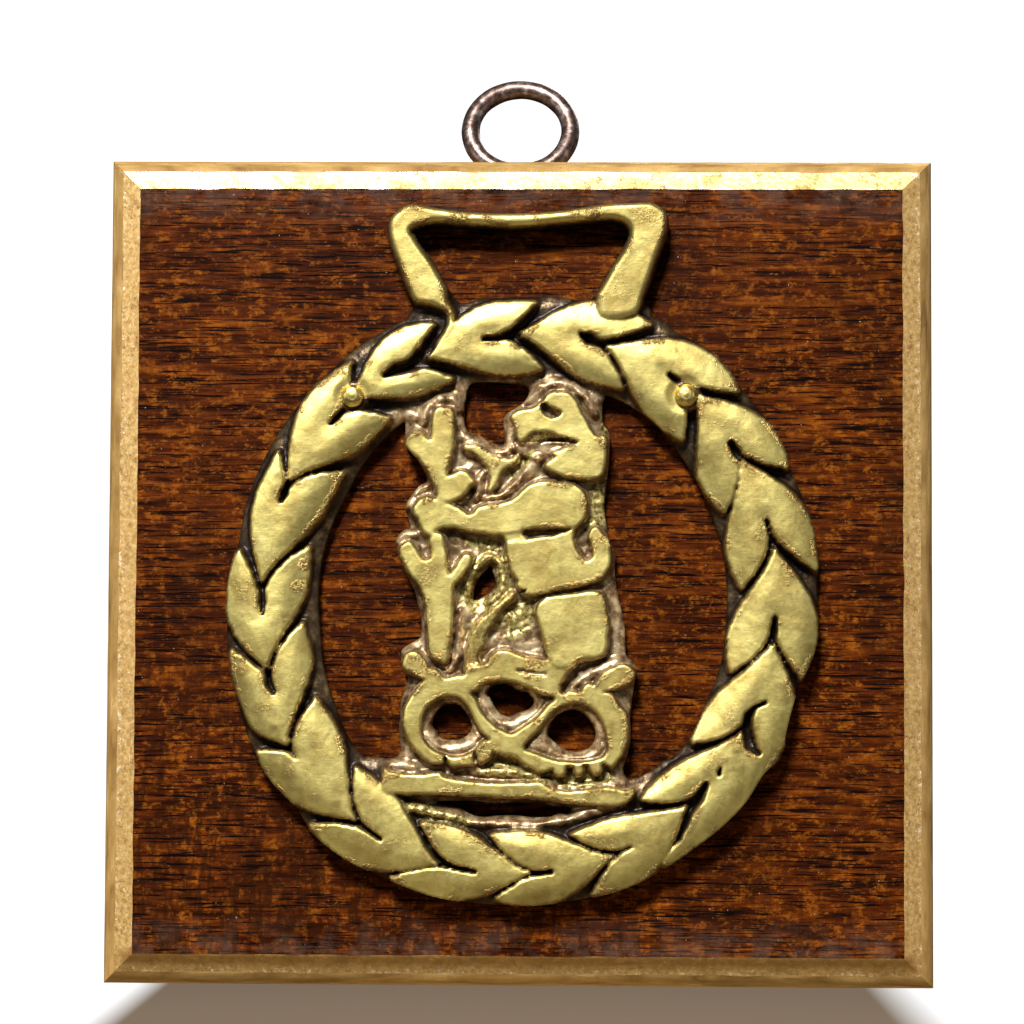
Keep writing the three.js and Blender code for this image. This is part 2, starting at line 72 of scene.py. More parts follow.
# One row for each pair of leaves, clockwise: the notch between its two leaves and the root of the next
# pair, then each leaf's tip and the radius that its edge swells to.
LEAF_PAIRS = [
    ((-8.4, 32), (-0.8, 32.1), (2.4, 36.1, 36.2), (4.6, 28, 27.3)),
    ((12.3, 32.5), (18.3, 32.2), (24.8, 36.8, 37.5), (25, 28.3, 27.7)),
    ((33, 32.6), (40.3, 32.4), (46, 36.3, 37.5), (45, 27.3, 26.7)),
    ((53.2, 31.6), (57.2, 31.3), (63.6, 35.8, 36.7), (66.5, 26.5, 25.7)),
    ((72, 31), (78.5, 31), (84.2, 35.7, 36.1), (86.8, 26.5, 25.4)),
    ((94, 30.5), (99.7, 30.6), (105.8, 35, 35.9), (109, 26.6, 25.3)),
    ((114.7, 31), (120.8, 31), (124.5, 36.2, 36.2), (130, 26.8, 25.9)),
    ((135, 31.7), (141.5, 31.8), (148, 36, 36.5), (149, 28.1, 27.2)),
    ((156, 32.6), (160.2, 32.8), (166.3, 36.6, 37), (168, 28.9, 28.5)),
    ((173.8, 33), (178.2, 33), (184.8, 36.3, 36.9), (187.3, 28.7, 28)),
    ((191.3, 33.2), (197.2, 33.6), (205, 37.2, 37.5), (203.8, 29.6, 28.7)),
    ((211.5, 33.5), (216.8, 33.4), (223, 37.5, 38), (224.4, 28.6, 28.1)),
    ((234.5, 33.4), (238, 33.4), (239.8, 37, 37.5), (244, 27.7, 27.3)),
    ((249.5, 32), (254.3, 32), (259.8, 35.9, 36.3), (263.3, 26.8, 26.4)),
    ((266.9, 31.7), (273.3, 31.6), (279.5, 34.8, 35.8), (283.4, 26.5, 26.1)),
    ((292.2, 31.6), (296.3, 31.8), (300.8, 34.6, 34.7), (305, 26.5, 26.3)),
    ((312.3, 31.6), (319.5, 31.8), (323.8, 35.5, 36), (323.5, 27.2, 26.7)),
    ((328.3, 31.7), (338, 31.5), (341.8, 35.1, 36), (342, 28, 27.7)),
]

STRAP = [
    (-16.2, 42.2), (-15.3, 43.6), (-13.3, 44.7), (-10, 44.2), (-5.6, 43.7), (0, 43.6), (5.6, 44),
    (10, 44.7), (13.3, 44.9), (16.1, 44.9), (17.8, 43.8), (18.2, 42.2), (17.8, 40.2), (16.9, 37.7),
    (16.1, 35.2), (15.3, 33), (16.1, 31.5), (15.5, 29), (8, 29), (0, 30), (-8, 29), (-14, 28),
    (-13.9, 30.5), (-12.9, 32.2), (-13.9, 34.1), (-15, 36.9), (-16, 39.7),
]
STRAP_SLOT = [
    (-12.8, 41.3), (-10, 42), (-5.6, 41.7), (0, 41.5), (5.6, 42), (10, 42.4), (12.2, 42.2), (13.2, 41.1),
    (12.5, 39.1), (11.1, 36.9), (9.7, 34.4), (8.6, 33), (7.2, 32.9), (4.4, 33.4), (0, 33.3), (-4.4, 33.1),
    (-6.7, 32.6), (-7.8, 33), (-9.2, 35.2), (-10.3, 37.2), (-11.7, 39.1), (-12.6, 40.5),
]
PANEL = [
    (-16.5, 21.5), (-15, 19), (-14, 18), (-13.9, 16.5), (-13.8, 15), (-12.5, 13.5), (-11.6, 12),
    (-11.2, 10.7), (-12, 10.2), (-13, 9), (-13.8, 7.5), (-13.4, 6), (-13.2, 5), (-14, 4.7), (-14.7, 3.9),
    (-14.9, 3), (-14.7, 2), (-14.3, 1), (-13.8, -0.3), (-13.2, -1.5), (-12.5, -3), (-12.2, -4.5),
    (-11.8, -6), (-11.8, -8), (-12.3, -8.6), (-13.5, -9.3), (-14.2, -10), (-14, -11.5), (-13.9, -12.6),
    (-13.4, -13.2), (-13.8, -14.8), (-14.2, -16), (-14.3, -18), (-14.4, -20), (-14.2, -21.5),
    (-14.3, -22.4), (-15.4, -23), (-18, -22.9), (-21, -23.5), (-20, -30), (0, -33), (20, -30), (21, -22.5),
    (18, -23), (17, -23.7), (15.5, -24.8), (14, -25.3), (13.2, -25.2), (12.8, -24), (13.4, -22),
    (13.7, -20), (13.6, -18), (13.8, -16), (14, -14.5), (14.2, -13), (14.3, -12), (13.8, -11),
    (13.1, -10.3), (13, -8), (12.8, -6), (12.3, -4), (11.9, -2), (11.7, 0), (11.8, 2), (11.2, 3.2),
    (10.7, 5.2), (10.4, 7.5), (10.5, 9.5), (10.8, 11.5), (11, 14), (11.1, 16), (10.8, 17), (10.2, 18),
    (10.2, 20.5), (11, 24), (0, 26), (-15, 24),
]
TOP_OPENING = [
    (-6.6, 20.5), (-6.7, 19), (-6.6, 17.5), (-6.2, 16.8), (-5, 16.4), (-4, 15.8), (-3, 15.3), (-1.9, 15.2),
    (-1.8, 16), (-1.9, 18.2), (-1.5, 18.9), (-0.3, 19.7), (0.5, 20.3), (1, 21), (1.2, 21.8), (0.9, 22.3),
    (0, 22.6), (-2, 22.8), (-4, 22.9), (-6, 22.6),
]
SIDE_OPENING = [
    (-5.5, -3.2), (-5.3, -2), (-4.8, -1), (-4, -0.1), (-3.3, 0.5), (-3.1, -0.3), (-2.8, -1.3), (-2.8, -2),
    (-3.4, -2.8), (-4.2, -3.3), (-5, -3.7), (-5.5, -3.7),
]
BAR_OPENING = [
    (-10, -28.2), (-8, -28.1), (-5, -28.1), (-3, -28.4), (0, -28.2), (3, -28.3), (4.5, -28.7), (6, -28.7),
    (6.6, -29), (6, -29.5), (5, -29.5), (4, -29.9), (2, -30), (0, -29.8), (-2, -29.8), (-4, -30),
    (-5, -29.9), (-6, -29.5), (-7, -28.9), (-8.5, -28.7), (-9.8, -28.5),
]
KNOT_HOLES = [
    [(-10.4, -18.8), (-9.9, -17.4), (-9, -16.5), (-8, -16.3), (-7, -16.6), (-6.3, -17.4), (-5.8, -18.3),
     (-5.6, -19.3), (-6.2, -20.2), (-7.2, -20.6), (-8.4, -20.7), (-9.4, -20.4), (-9.9, -19.6)],
    [(-3.7, -15), (-3.2, -14.2), (-2, -13.9), (-1, -14.1), (0, -14.7), (1.2, -15), (1.8, -15.7),
     (1.9, -16.3), (1.2, -17), (0, -17.4), (-1, -17.8), (-2, -17.6), (-2.7, -16.8), (-3.2, -15.9)],
    [(3.7, -20), (4, -18.7), (4.6, -17.8), (5.6, -17.2), (6.7, -17), (7.6, -17.2), (8.5, -18), (9.1, -18.9),
     (9.4, -19.8), (9.2, -20.9), (8.4, -21.7), (7, -22.1), (5.8, -21.8), (4.7, -21.1), (4, -20.5)],
]
KNOT_LIPS = [
    [(-11.6, -18.5), (-11.2, -17.2), (-10.3, -16.2), (-9.3, -15.6), (-8.2, -15.4), (-7, -15.7),
     (-6.2, -16.5), (-5.6, -17.5), (-5, -18.7), (-4.3, -19.8), (-3.4, -20.6), (-4.3, -20.8), (-4.9, -21.6),
     (-5.3, -22), (-6.3, -22.5), (-7.5, -22.7), (-8.7, -22.5), (-9.9, -22), (-10.9, -21.2), (-11.5, -20.2)],
    [(-5.6, -15), (-4.9, -14.7), (-4.3, -13.9), (-3, -13.6), (-1.5, -13.5), (0, -13.8), (1.5, -14.4),
     (2.8, -15.1), (4.3, -15.4), (4.3, -15.9), (3.6, -16.4), (2.8, -17.4), (1.5, -18.5), (0, -19.5),
     (-0.7, -19.9), (-1.7, -19.5), (-2.9, -18.8), (-4, -17.7), (-4.7, -16.6), (-5, -15.7)],
    [(0.8, -21.5), (1.4, -20.6), (2.5, -19.5), (3.3, -18.4), (4.2, -17.4), (5.2, -16.6), (6.5, -16.2),
     (7.7, -16.2), (8.7, -16.7), (9.6, -17.5), (10.2, -18.5), (10.6, -19.7), (10.8, -20.8), (10.9, -21.6),
     (10.3, -22.6), (9.5, -22.9), (8.7, -23.1), (7.5, -23.3), (6.2, -23.2), (5, -23.1), (3.8, -22.8),
     (2.5, -22.3), (1.3, -21.9)],
]

STAFF_ABOVE = [
    (-10.4, 18.6), (-10.2, 19.2), (-9.7, 19.5), (-8.5, 19.5), (-8.1, 19.2), (-7.9, 18.6), (-7.95, 16),
    (-8, 14.5), (-8.3, 13.3), (-8.6, 12.2), (-8.7, 11.3), (-8.2, 11.3), (-7.6, 11.6), (-7, 11.8),
    (-6.3, 11.6), (-5.8, 11.1), (-5.4, 10.6), (-6, 9.9), (-6.5, 9.1), (-7.2, 8.6), (-8, 8.2), (-9, 8.1),
    (-9.7, 8.2), (-9.9, 9), (-10.1, 10), (-10.6, 11), (-11.2, 12), (-11.7, 12.8), (-12.4, 13.6),
    (-13.3, 14.3), (-13.7, 15), (-13.6, 15.7), (-13, 16.4), (-12.4, 16.8), (-11.8, 16.5), (-11.2, 15.8),
    (-10.7, 15.5), (-10.5, 15.9), (-10.5, 17),
]
STAFF_BELOW = [
    (-14.4, 2.4), (-14.1, 2.8), (-13.3, 3.2), (-12.8, 2.8), (-12.3, 2.1), (-11.9, 1.4), (-11.5, 1),
    (-10.9, 1), (-10.5, 1.4), (-10.4, 2), (-10.6, 3), (-10.7, 3.8), (-10.6, 4.2), (-9.3, 4.1), (-9, 3),
    (-8.8, 2), (-8.7, 1), (-8.7, 0.2), (-8.5, -0.4), (-8.3, -0.8), (-7.9, -0.4), (-7.4, 0.3), (-7, 1),
    (-6.5, 1.6), (-6, 1.7), (-5.7, 1.2), (-5.9, 0.5), (-6.3, -0.1), (-6.8, -0.8), (-7.2, -1.3),
    (-7.7, -1.7), (-7.9, -2.2), (-7.9, -4), (-8, -6), (-8.1, -8), (-8.3, -9.5), (-8.4, -10.6),
    (-8.8, -11.3), (-9.5, -11), (-10.3, -10.7), (-10.6, -9.8), (-10.8, -8), (-11, -6), (-11.2, -4),
    (-11.6, -2.7), (-12.2, -1.7), (-13, -0.8), (-13.6, 0.2), (-14.1, 1.2),
]
ARM = [
    (-12.7, 7.2), (-12.2, 8.1), (-11.3, 8.7), (-10.6, 8.6), (-9.8, 8.2), (-8.5, 7.8), (-7.4, 7.4),
    (-6.5, 6.8), (-6, 6.5), (-5.5, 6.7), (-5, 7.2), (-4.2, 7.6), (-3, 7.8), (-2, 7.9), (-1, 8.2),
    (-0.3, 8.7), (0.5, 9.5), (1.5, 10.2), (2.5, 10.5), (3.8, 10.6), (5, 10.4), (6, 10.4), (7, 10.1),
    (7.8, 9.4), (8.2, 8.5), (8.3, 7.3), (8, 6.2), (7.3, 5.4), (6.3, 5), (5, 5), (3, 5), (1.2, 4.9),
    (0, 4.4), (-1.3, 4.2), (-2.5, 4.1), (-4, 4.3), (-6, 4.6), (-7.5, 5), (-8.5, 5.1), (-9.5, 4.9),
    (-10.5, 4.3), (-11.2, 4.2), (-11.8, 5), (-12.1, 6), (-12.6, 6.5),
]
HEAD = [
    (-0.9, 18.3), (-0.4, 18.9), (0.3, 19.2), (1.2, 19.3), (1.9, 19.5), (2.5, 20), (3, 20.4), (3.3, 20.9),
    (3.8, 21.3), (4.6, 21.4), (5.5, 21.4), (6.1, 21.2), (6.6, 20.7), (7, 20.2), (7.2, 19.6), (7.6, 18.9),
    (8, 18.2), (8.4, 17.4), (8.8, 16.7), (9.2, 16.2), (9.8, 16.1), (10.4, 16.1), (10.6, 15.6), (10.6, 14.5),
    (10.5, 13), (10.3, 11.9), (9.8, 11.2), (9, 11), (7.8, 11), (6.5, 11.1), (5.2, 11.4), (4.2, 11.8),
    (3.4, 12.3), (3.3, 12.7), (4, 13.2), (4.5, 13.6), (4.3, 14), (5.2, 14.4), (6.2, 14.8), (7, 15.2),
    (7.3, 15.35), (6.9, 15.7), (6, 15.8), (5, 16.2), (4.2, 16.6), (3.4, 16.8), (2.6, 16.8), (1.8, 16.7),
    (1.2, 16.4), (0.6, 15.8), (0.2, 15.6), (-0.1, 16.1), (-0.2, 16.8), (-0.5, 17.5),
]
TORSO = [
    (-1.2, 3.2), (0.5, 3.4), (2, 3.7), (4, 3.9), (5, 4.2), (6.2, 4.2), (6.6, 3.3), (7, 2.4), (7.6, 1.5),
    (8, 1), (8.5, 1), (9.1, 1.6), (9.1, 2.3), (8.8, 3.3), (8.5, 4.1), (9, 5), (9.6, 4.9), (10.2, 4.3),
    (10.8, 3.6), (11.05, 2.6), (11.1, 1.5), (11, 0.5), (10.5, -0.5), (10, -1.1), (9, -1.5), (7.5, -2),
    (6, -2.2), (4.5, -2.5), (3, -2.9), (2, -3.1), (1, -3), (0.4, -2.6), (0, -2), (0.05, -1.4), (-0.3, -0.9),
    (-0.8, -0.2), (-1.1, 0.8), (-1.3, 2),
]
THIGH = [
    (2.4, -4.4), (2.9, -3.8), (3.7, -3.3), (5, -3.2), (6.5, -3), (8, -2.8), (9.3, -2.7), (10.2, -3.1),
    (10.5, -3.8), (10.7, -5), (10.9, -6.5), (10.8, -8), (10.7, -9.5), (10.4, -10.3), (9.5, -10.7),
    (8.2, -10.8), (7.3, -11.1), (6.5, -11.6), (5.5, -12), (4.6, -12), (4, -11.3), (3.7, -10.5), (3.4, -9.5),
    (3.1, -8.5), (2.8, -7.2), (2.4, -6), (2.2, -5.2),
]
FORELEG = [
    (-0.6, -3.6), (-1.6, -4.4), (-2.4, -5.5), (-3.1, -6.5), (-3.7, -7.4), (-4, -8.4), (-4.1, -9.4),
    (-4.7, -10), (-4.9, -11), (-4.4, -11.8), (-4.4, -12.6), (-6.2, -12.6), (-6.3, -11), (-6.1, -9.6),
    (-5.8, -8.4), (-5.2, -7.2), (-4.4, -6.1), (-3.4, -5.2), (-2.4, -4.3), (-1.4, -3.4), (-0.6, -2.8),
]
UNDER_MUZZLE = [
    (-0.2, 17.2), (0.2, 15.7), (1.2, 15.4), (3, 15.6), (5, 15.5), (7, 15.3), (6, 16.2), (4, 17),
]
JAW = [
    (0.3, 15.2), (2, 15.4), (4.5, 15.3), (6.5, 15.1), (4.6, 14.3), (4.2, 13.6), (3, 13.4), (1, 13.8),
    (-0.5, 14.6),
]
# Places where the figure's raised parts run into each other.
FIGURE_JOINS = [
    [(-1.7, 4.9), (-1.5, 3.4), (-0.9, 2.6), (0.8, 2.8), (0.7, 4.4), (0.9, 5.4), (-0.5, 5.6)],
    [(5.3, 5.4), (5.4, 4.2), (5.7, 3.6), (6.3, 3.6), (6.7, 4.6), (6.4, 5.6)],
    [(3.6, -10.2), (4.2, -11.6), (4.4, -13), (5, -13.8), (6, -12.4), (7, -11.4), (6, -10)],
]
MUZZLE_CHAIN = [
    (-6.6, 14.9), (-6, 14.95), (-5, 14.7), (-4.3, 14.3), (-3.5, 13.8), (-2.6, 13.4), (-1.8, 13.2),
    (-0.8, 13.3), (-0.3, 13.7), (-0.2, 13.2), (-0.7, 12.7), (-1.5, 12.3), (-2.1, 11.9), (-2.4, 11.3),
    (-2.6, 10.6), (-3, 9.9), (-3.4, 9.4), (-3.7, 9.7), (-3.4, 10.4), (-3.4, 11.2), (-3.6, 12), (-4, 12.8),
    (-4.7, 13.5), (-5.2, 14), (-5.9, 14.3), (-6.5, 14.4),
]
KNOT = [
    (-13.8, -10.9), (-13.4, -10.3), (-12.7, -10.1), (-12, -10.3), (-11.4, -11), (-10.9, -11.6),
    (-10.7, -12.1), (-10.2, -12.1), (-9.6, -12.5), (-9.1, -13), (-8.5, -13.3), (-7.5, -13), (-6.5, -12.9),
    (-6, -12.2), (-5.5, -11.9), (-4.5, -11.8), (-3.7, -11.4), (-3.3, -10.7), (-2.5, -10), (-1.5, -9.9),
    (-0.5, -10.2), (1, -10.7), (2.5, -10.9), (3.8, -11.2), (4.1, -11.9), (4.5, -12.5), (5, -13.6),
    (5.1, -14.8), (5.7, -15.2), (6.2, -14.8), (7, -14.8), (7.6, -14.9), (7.9, -14.4), (8.5, -13.9),
    (9.3, -14), (9.7, -13.3), (10.3, -12.6), (11.3, -12), (12.3, -11.6), (13, -11.5), (13.7, -11.9),
    (14.1, -12.5), (14, -13.2), (13.2, -13.9), (12, -14.4), (11, -14.7), (10.4, -14.8), (11.2, -15),
    (11.8, -15.7), (12.2, -16.6), (12.9, -17.1), (13.2, -18), (13.3, -19.5), (13.2, -20.8), (12.8, -21.8),
    (12.3, -22.7), (11.6, -23.5), (11, -23.7), (10.3, -23.2), (10.1, -23.5), (10.1, -24.3), (9.5, -24.7),
    (8.9, -24.3), (8.6, -23.5), (7.9, -23.5), (7.9, -24.3), (7.5, -24.9), (7, -24.6), (6.8, -23.7),
    (5.9, -23.8), (5.7, -24.6), (5.2, -24.9), (4.6, -24.6), (4.3, -24), (3.5, -24.3), (2.6, -24.4),
    (1.8, -24), (0.8, -23.4), (0, -22.7), (-0.8, -22.4), (-2, -22.3), (-3, -21.9), (-3.2, -22.6),
    (-3.9, -23.2), (-4.6, -23.4), (-5, -22.9), (-5.3, -23.6), (-6.5, -23.7), (-7.8, -23.8), (-8.5, -23.3),
    (-9.5, -23.5), (-10.5, -23.4), (-11.5, -22.6), (-12.5, -21.7), (-13.2, -20.5), (-13.7, -19),
    (-13.7, -17.5), (-13.3, -16.3), (-12.5, -15), (-11.8, -14), (-11.2, -13.5), (-11.8, -13.2),
    (-12.8, -12.6), (-13.6, -12.2), (-13.9, -11.6),
]
BASE_BAR = [
    (-16.1, -24.3), (-15, -24.7), (-13, -24.9), (-11, -24.9), (-9.5, -24.7), (-8.8, -25.2), (-7, -25.6),
    (-4, -25.9), (0, -25.9), (2.8, -25.8), (3.5, -26.3), (5, -26.8), (7, -26.8), (8.5, -26.6), (10, -26.3),
    (11.5, -26.4), (13, -26.7), (14, -26.5), (13.7, -27.4), (13.2, -28), (12.3, -28.3), (10.5, -28.4),
    (8, -28.2), (6, -28), (4, -27.7), (2, -27.5), (-1, -27.4), (-5, -27.2), (-9, -27.1), (-13, -27.1),
    (-15, -27), (-16, -26.5),
]
# Damage and slits in the wreath, as strokes of degrees, radius and half width.
WREATH_CUTS = [
    [(12.3, 32.9, 0.25), (14.2, 32.6, 0.75), (17.6, 32.3, 0.3)],
    [(33, 32.5, 0.2), (35.6, 32.4, 0.45), (40.3, 32.4, 0.2)],
    [(53.2, 31.5, 0.4), (55.4, 31.4, 0.55), (57.2, 31.3, 0.2)],
    [(72, 31, 0.2), (78.5, 31, 0.15)],
    [(94, 30.6, 0.2), (97, 30.6, 0.45), (99.7, 30.6, 0.3)],
    [(112.9, 31.8, 0.2), (114.7, 30.9, 0.2), (117, 30.6, 0.45), (120, 31.1, 0.5), (122.7, 32.6, 0.6),
     (122.9, 34, 0.3)],
    [(130.4, 31.4, 0.15), (131.4, 31.7, 0.25)],
    [(135, 31.4, 0.3), (138.2, 32, 0.65), (141.5, 32.6, 0.4), (144, 33.6, 0.3), (147, 34.6, 0.1)],
    [(173.7, 33, 0.25), (177.5, 33.1, 0.3)],
    [(189.6, 33.3, 0.2), (191.3, 33.3, 0.3), (197.2, 33.6, 0.15)],
    [(210.3, 33.6, 0.2), (216, 33.5, 0.3)],
    [(249.3, 32.1, 0.3), (251.2, 32.3, 0.5), (254.3, 32.1, 0.2)],
    [(266.6, 31.5, 0.2), (269, 31.5, 0.45), (273, 31.5, 0.2)],
    [(292, 31.6, 0.3), (293.8, 31.6, 0.5), (296.4, 31.8, 0.2)],
    [(312.3, 31.5, 0.2), (314, 31.5, 0.35), (319.5, 31.8, 0.12)],
    [(328.2, 31.9, 0.3), (331, 31.8, 0.75), (335, 31.3, 0.8), (337.6, 31.2, 0.3)],
    [(342.8, 36.6, 0.9), (343.8, 35.4, 0.75), (343, 33.9, 0.5), (340.6, 32.6, 0.3), (338, 31.6, 0.25)],
    [(351.4, 31.9, 0.25), (354, 31.8, 0.35), (359, 32.1, 0.3)],
]
# Strokes in the figure: x, z and half width.
FIGURE_CUTS = [
    [(-8.7, -22.8, 0.2), (-8.6, -23.6, 0.3)],
    [(-5.2, -22.2, 0.15), (-5.1, -23.2, 0.3)],
    [(0.8, 4.35, 0.3), (2.2, 4.5, 0.38), (3.6, 4.5, 0.38), (4.9, 4.6, 0.25), (6.2, 4.8, 0.12)],
    [(2.6, 15.45, 0.12), (4, 15.75, 0.25), (5.5, 15.75, 0.25), (7.1, 15.35, 0.1)],
    [(0.9, -3.6, 0.25), (2.4, -3.4, 0.2), (4.5, -2.95, 0.2), (6.5, -2.65, 0.22), (8.5, -2.15, 0.28),
     (10.6, -1.5, 0.35)],
    [(0.35, -2.75, 0.25), (0.7, -2.65, 0.22)],
    [(-4, -10, 0.4), (-4.1, -10.9, 0.4)],
]
# A shallow slit, as the cuts are given.
SLIT = [(0.1, -12.2, 0.2), (1.7, -12.6, 0.25), (3.3, -12.7, 0.15)]
EYE_PIT = [
    (2.6, 20), (3.2, 20.2), (3.6, 19.8), (4.3, 19.5), (5, 19.2), (5.1, 18.8), (4.6, 18.4), (4, 18.3),
    (3.3, 18.6), (2.8, 19.1), (2.6, 19.6),
]
# Soft lips and ridges of the ground: x, z and half width.
RIDGES = [
    [(-5.2, 8.6, 0.3), (-4.7, 9.6, 0.45), (-4.6, 11.2, 0.4), (-4.3, 11.8, 0.2)],
    [(-7.2, 18, 0.4), (-6.7, 16.2, 0.55), (-5, 15.4, 0.55), (-3.4, 14.6, 0.6), (-2, 14.4, 0.65),
     (-1, 14.9, 0.5), (-1.3, 16.5, 0.4), (-1.3, 18.2, 0.4), (-0.6, 19.4, 0.4), (1, 20.6, 0.5),
     (2.4, 21.9, 0.6), (4.4, 22.5, 0.6), (6.4, 22.3, 0.5), (8.2, 20.9, 0.4), (9.2, 19, 0.4)],
    [(-11.6, 18, 0.4), (-11.1, 19.6, 0.55), (-9.6, 20.6, 0.6), (-8, 20.6, 0.6), (-7.1, 19.5, 0.4)],
    [(-13.6, 7.6, 0.4), (-13, 8.8, 0.5), (-12, 9.8, 0.5), (-11, 10.2, 0.4)],
    [(-14.7, 3.4, 0.4), (-14, 4.4, 0.5), (-12.6, 4.2, 0.4)],
    [(-4, 8.6, 0.3), (-2, 9, 0.35), (0, 10.6, 0.5), (1.4, 12.2, 0.6), (2.4, 13.4, 0.4)],
    [(-6.1, -2.9, 0.35), (-5.9, -1.2, 0.4), (-4.9, 0.3, 0.4), (-3.6, 1.4, 0.45), (-2.3, 0.8, 0.4),
     (-2, -1, 0.4), (-2.1, -2.6, 0.4), (-3.4, -4, 0.4)],
    [(-7, -5, 0.3), (-7.1, -8, 0.4), (-7.3, -10.6, 0.45), (-8.2, -12.2, 0.4)],
    [(-16, -23.6, 0.5), (-14, -23.7, 0.5), (-12.5, -24, 0.4)],
    [(-5, -24.4, 0.4), (-1, -24.6, 0.5), (2.4, -25, 0.4)],
    [(3.3, -25.6, 0.3), (4.5, -26.1, 0.25), (7, -26.2, 0.22), (10, -25.8, 0.25), (12.8, -25.8, 0.3)],
    [(-15, -28.4, 0.4), (-12, -29.1, 0.5), (-8, -29.8, 0.5), (-6, -30.5, 0.5), (-2, -30.7, 0.5),
     (2, -30.7, 0.5), (6, -30.2, 0.5), (9, -29.2, 0.5), (13, -28.8, 0.5)],
    [(6.2, -14.4, 0.3), (8, -13.2, 0.45), (10, -12, 0.5), (12, -11, 0.4)],
]
# Where the ground is crusted olive and rough: x, z and half width.
CRUST = [
    [(10.3, 17.6, 0.3), (10.7, 14, 0.6), (10.2, 11, 1), (9.5, 9, 0.8), (9.6, 6.2, 1), (8.6, 5.2, 0.5)],
    [(-6.2, -3.4, 0.9), (-6.2, -1.5, 1), (-4.8, 0.6, 1), (-2.8, 1.8, 1.2), (-1.7, 0, 1), (-1.6, -2, 1),
     (-2.8, -3.8, 1.1), (-5.2, -4.4, 0.9)],
    [(-1.4, -4.8, 1.4), (0.4, -5.4, 1.7), (-0.4, -7, 1.3)],
    [(-1.4, -4, 0.8), (-4.6, -7.5, 1.2), (-5.3, -11.6, 1)],
    [(-4, -24.2, 0.9), (1.6, -24.4, 1), (6.5, -25.4, 0.9), (11, -25.2, 0.6)],
    [(-14, -28.6, 0.8), (-10, -30, 1), (-6.4, -31, 0.9)],
    [(-1, 12, 0.7), (0.4, 13.3, 0.7), (1.6, 14, 0.5)],
    [(-6, 3.4, 0.5), (-3.6, 3, 0.8), (-2.4, 2, 0.6)],
]

# ---------------------------------------------------------------- the relief, on a grid

GRID_X = np.arange(-36.6, 38.4, STEP)
GRID_Z = np.arange(-42.4, 45.8, STEP)
X, Z = np.meshgrid(GRID_X, GRID_Z)
FAR = 9.0
NOISE_SPAN = (90, 78)  # a height and width that cover the grid


def smooth(points, cuts=5):
    """A closed Catmull-Rom curve through the points."""
    p1 = np.array(points, float)
    p0, p2, p3 = np.roll(p1, 1, 0), np.roll(p1, -1, 0), np.roll(p1, -2, 0)
    rows = []
    for t in np.arange(cuts) / cuts:
        rows.append(0.5 * (2 * p1 + (p2 - p0) * t + (2 * p0 - 5 * p1 + 4 * p2 - p3) * t**2
                           + (3 * p1 - p0 - 3 * p2 + p3) * t**3))
    return np.stack(rows, 1).reshape(-1, 2)


def ease(value, low, high):
    t = np.clip((value - low) / (high - low), 0, 1)
    return t * t * (3 - 2 * t)


def window(points, margin):
    """The part of the grid around some points, as two slices."""
    (x0, z0), (x1, z1) = points.min(0) - margin, points.max(0) + margin
    i = np.searchsorted(GRID_X, (x0, x1))
    j = np.searchsorted(GRID_Z, (z0, z1))
    return slice(j[0], j[1]), slice(i[0], i[1])


def to_segment(x, z, a, b):
    """Distance from the segment between a and b, and how far along it the nearest place is, from 0 to 1."""
    dx, dz = b[0] - a[0], b[1] - a[1]
    t = np.clip(((x - a[0]) * dx + (z - a[1]) * dz) / max(dx * dx + dz * dz, 1e-9), 0, 1)
    return np.hypot(x - a[0] - t * dx, z - a[1] - t * dz), t


def crosses(x, z, a, b):
    """Whether a line from each place towards +x crosses the segment between a and b."""
    if a[1] == b[1]:
        return np.zeros(x.shape, bool)
    return ((a[1] > z) != (b[1] > z)) & (x < a[0] + (z - a[1]) * (b[0] - a[0]) / (b[1] - a[1]))


def on_grid(part, values):
    """Values in one part of the grid, far away everywhere else."""
    whole = np.full(X.shape, FAR)
    whole[part] = values
    return whole


def outside(points, cuts=5, margin=1.6):
    """How far each grid point is outside the smooth outline; negative inside."""
    loop = smooth(points, cuts)
    part = window(loop, margin)
    x, z = X[part], Z[part]
    near = np.full(x.shape, FAR)
    crossings = np.zeros(x.shape, bool)
    for a, b in zip(loop, np.roll(loop, -1, 0)):
        near = np.minimum(near, to_segment(x, z, a, b)[0])
        crossings ^= crosses(x, z, a, b)
    return on_grid(part, np.where(crossings, -near, near))


def along(stroke, margin=1.6):
    """Distance from a stroke of (x, z, half width) points, as a share of its half width there."""
    points = np.array(stroke, float)
    part = window(points[:, :2], margin)
    x, z = X[part], Z[part]
    share = np.full(x.shape, FAR)
    for a, b in zip(points, points[1:]):
        away, t = to_segment(x, z, a, b)
        share = np.minimum(share, away / (a[2] + t * (b[2] - a[2])))
    return on_grid(part, share)


def on_wreath(degrees, radius):
    turn = np.radians(degrees)
    return WREATH[0] + radius * np.sin(turn), WREATH[1] + radius * np.cos(turn)


def rim(rows):
    """The rim's radius at every grid point's angle."""
    rows = np.array(rows, float)
    angles = np.concatenate([rows[:, 0] - 360, rows[:, 0], rows[:, 0] + 360])
    loop = smooth(np.stack([angles, np.tile(rows[:, 1], 3)], 1), 6)[: -6 * 3]
    order = np.argsort(loop[:, 0])
    return np.interp(ANGLE, loop[order, 0], loop[order, 1])


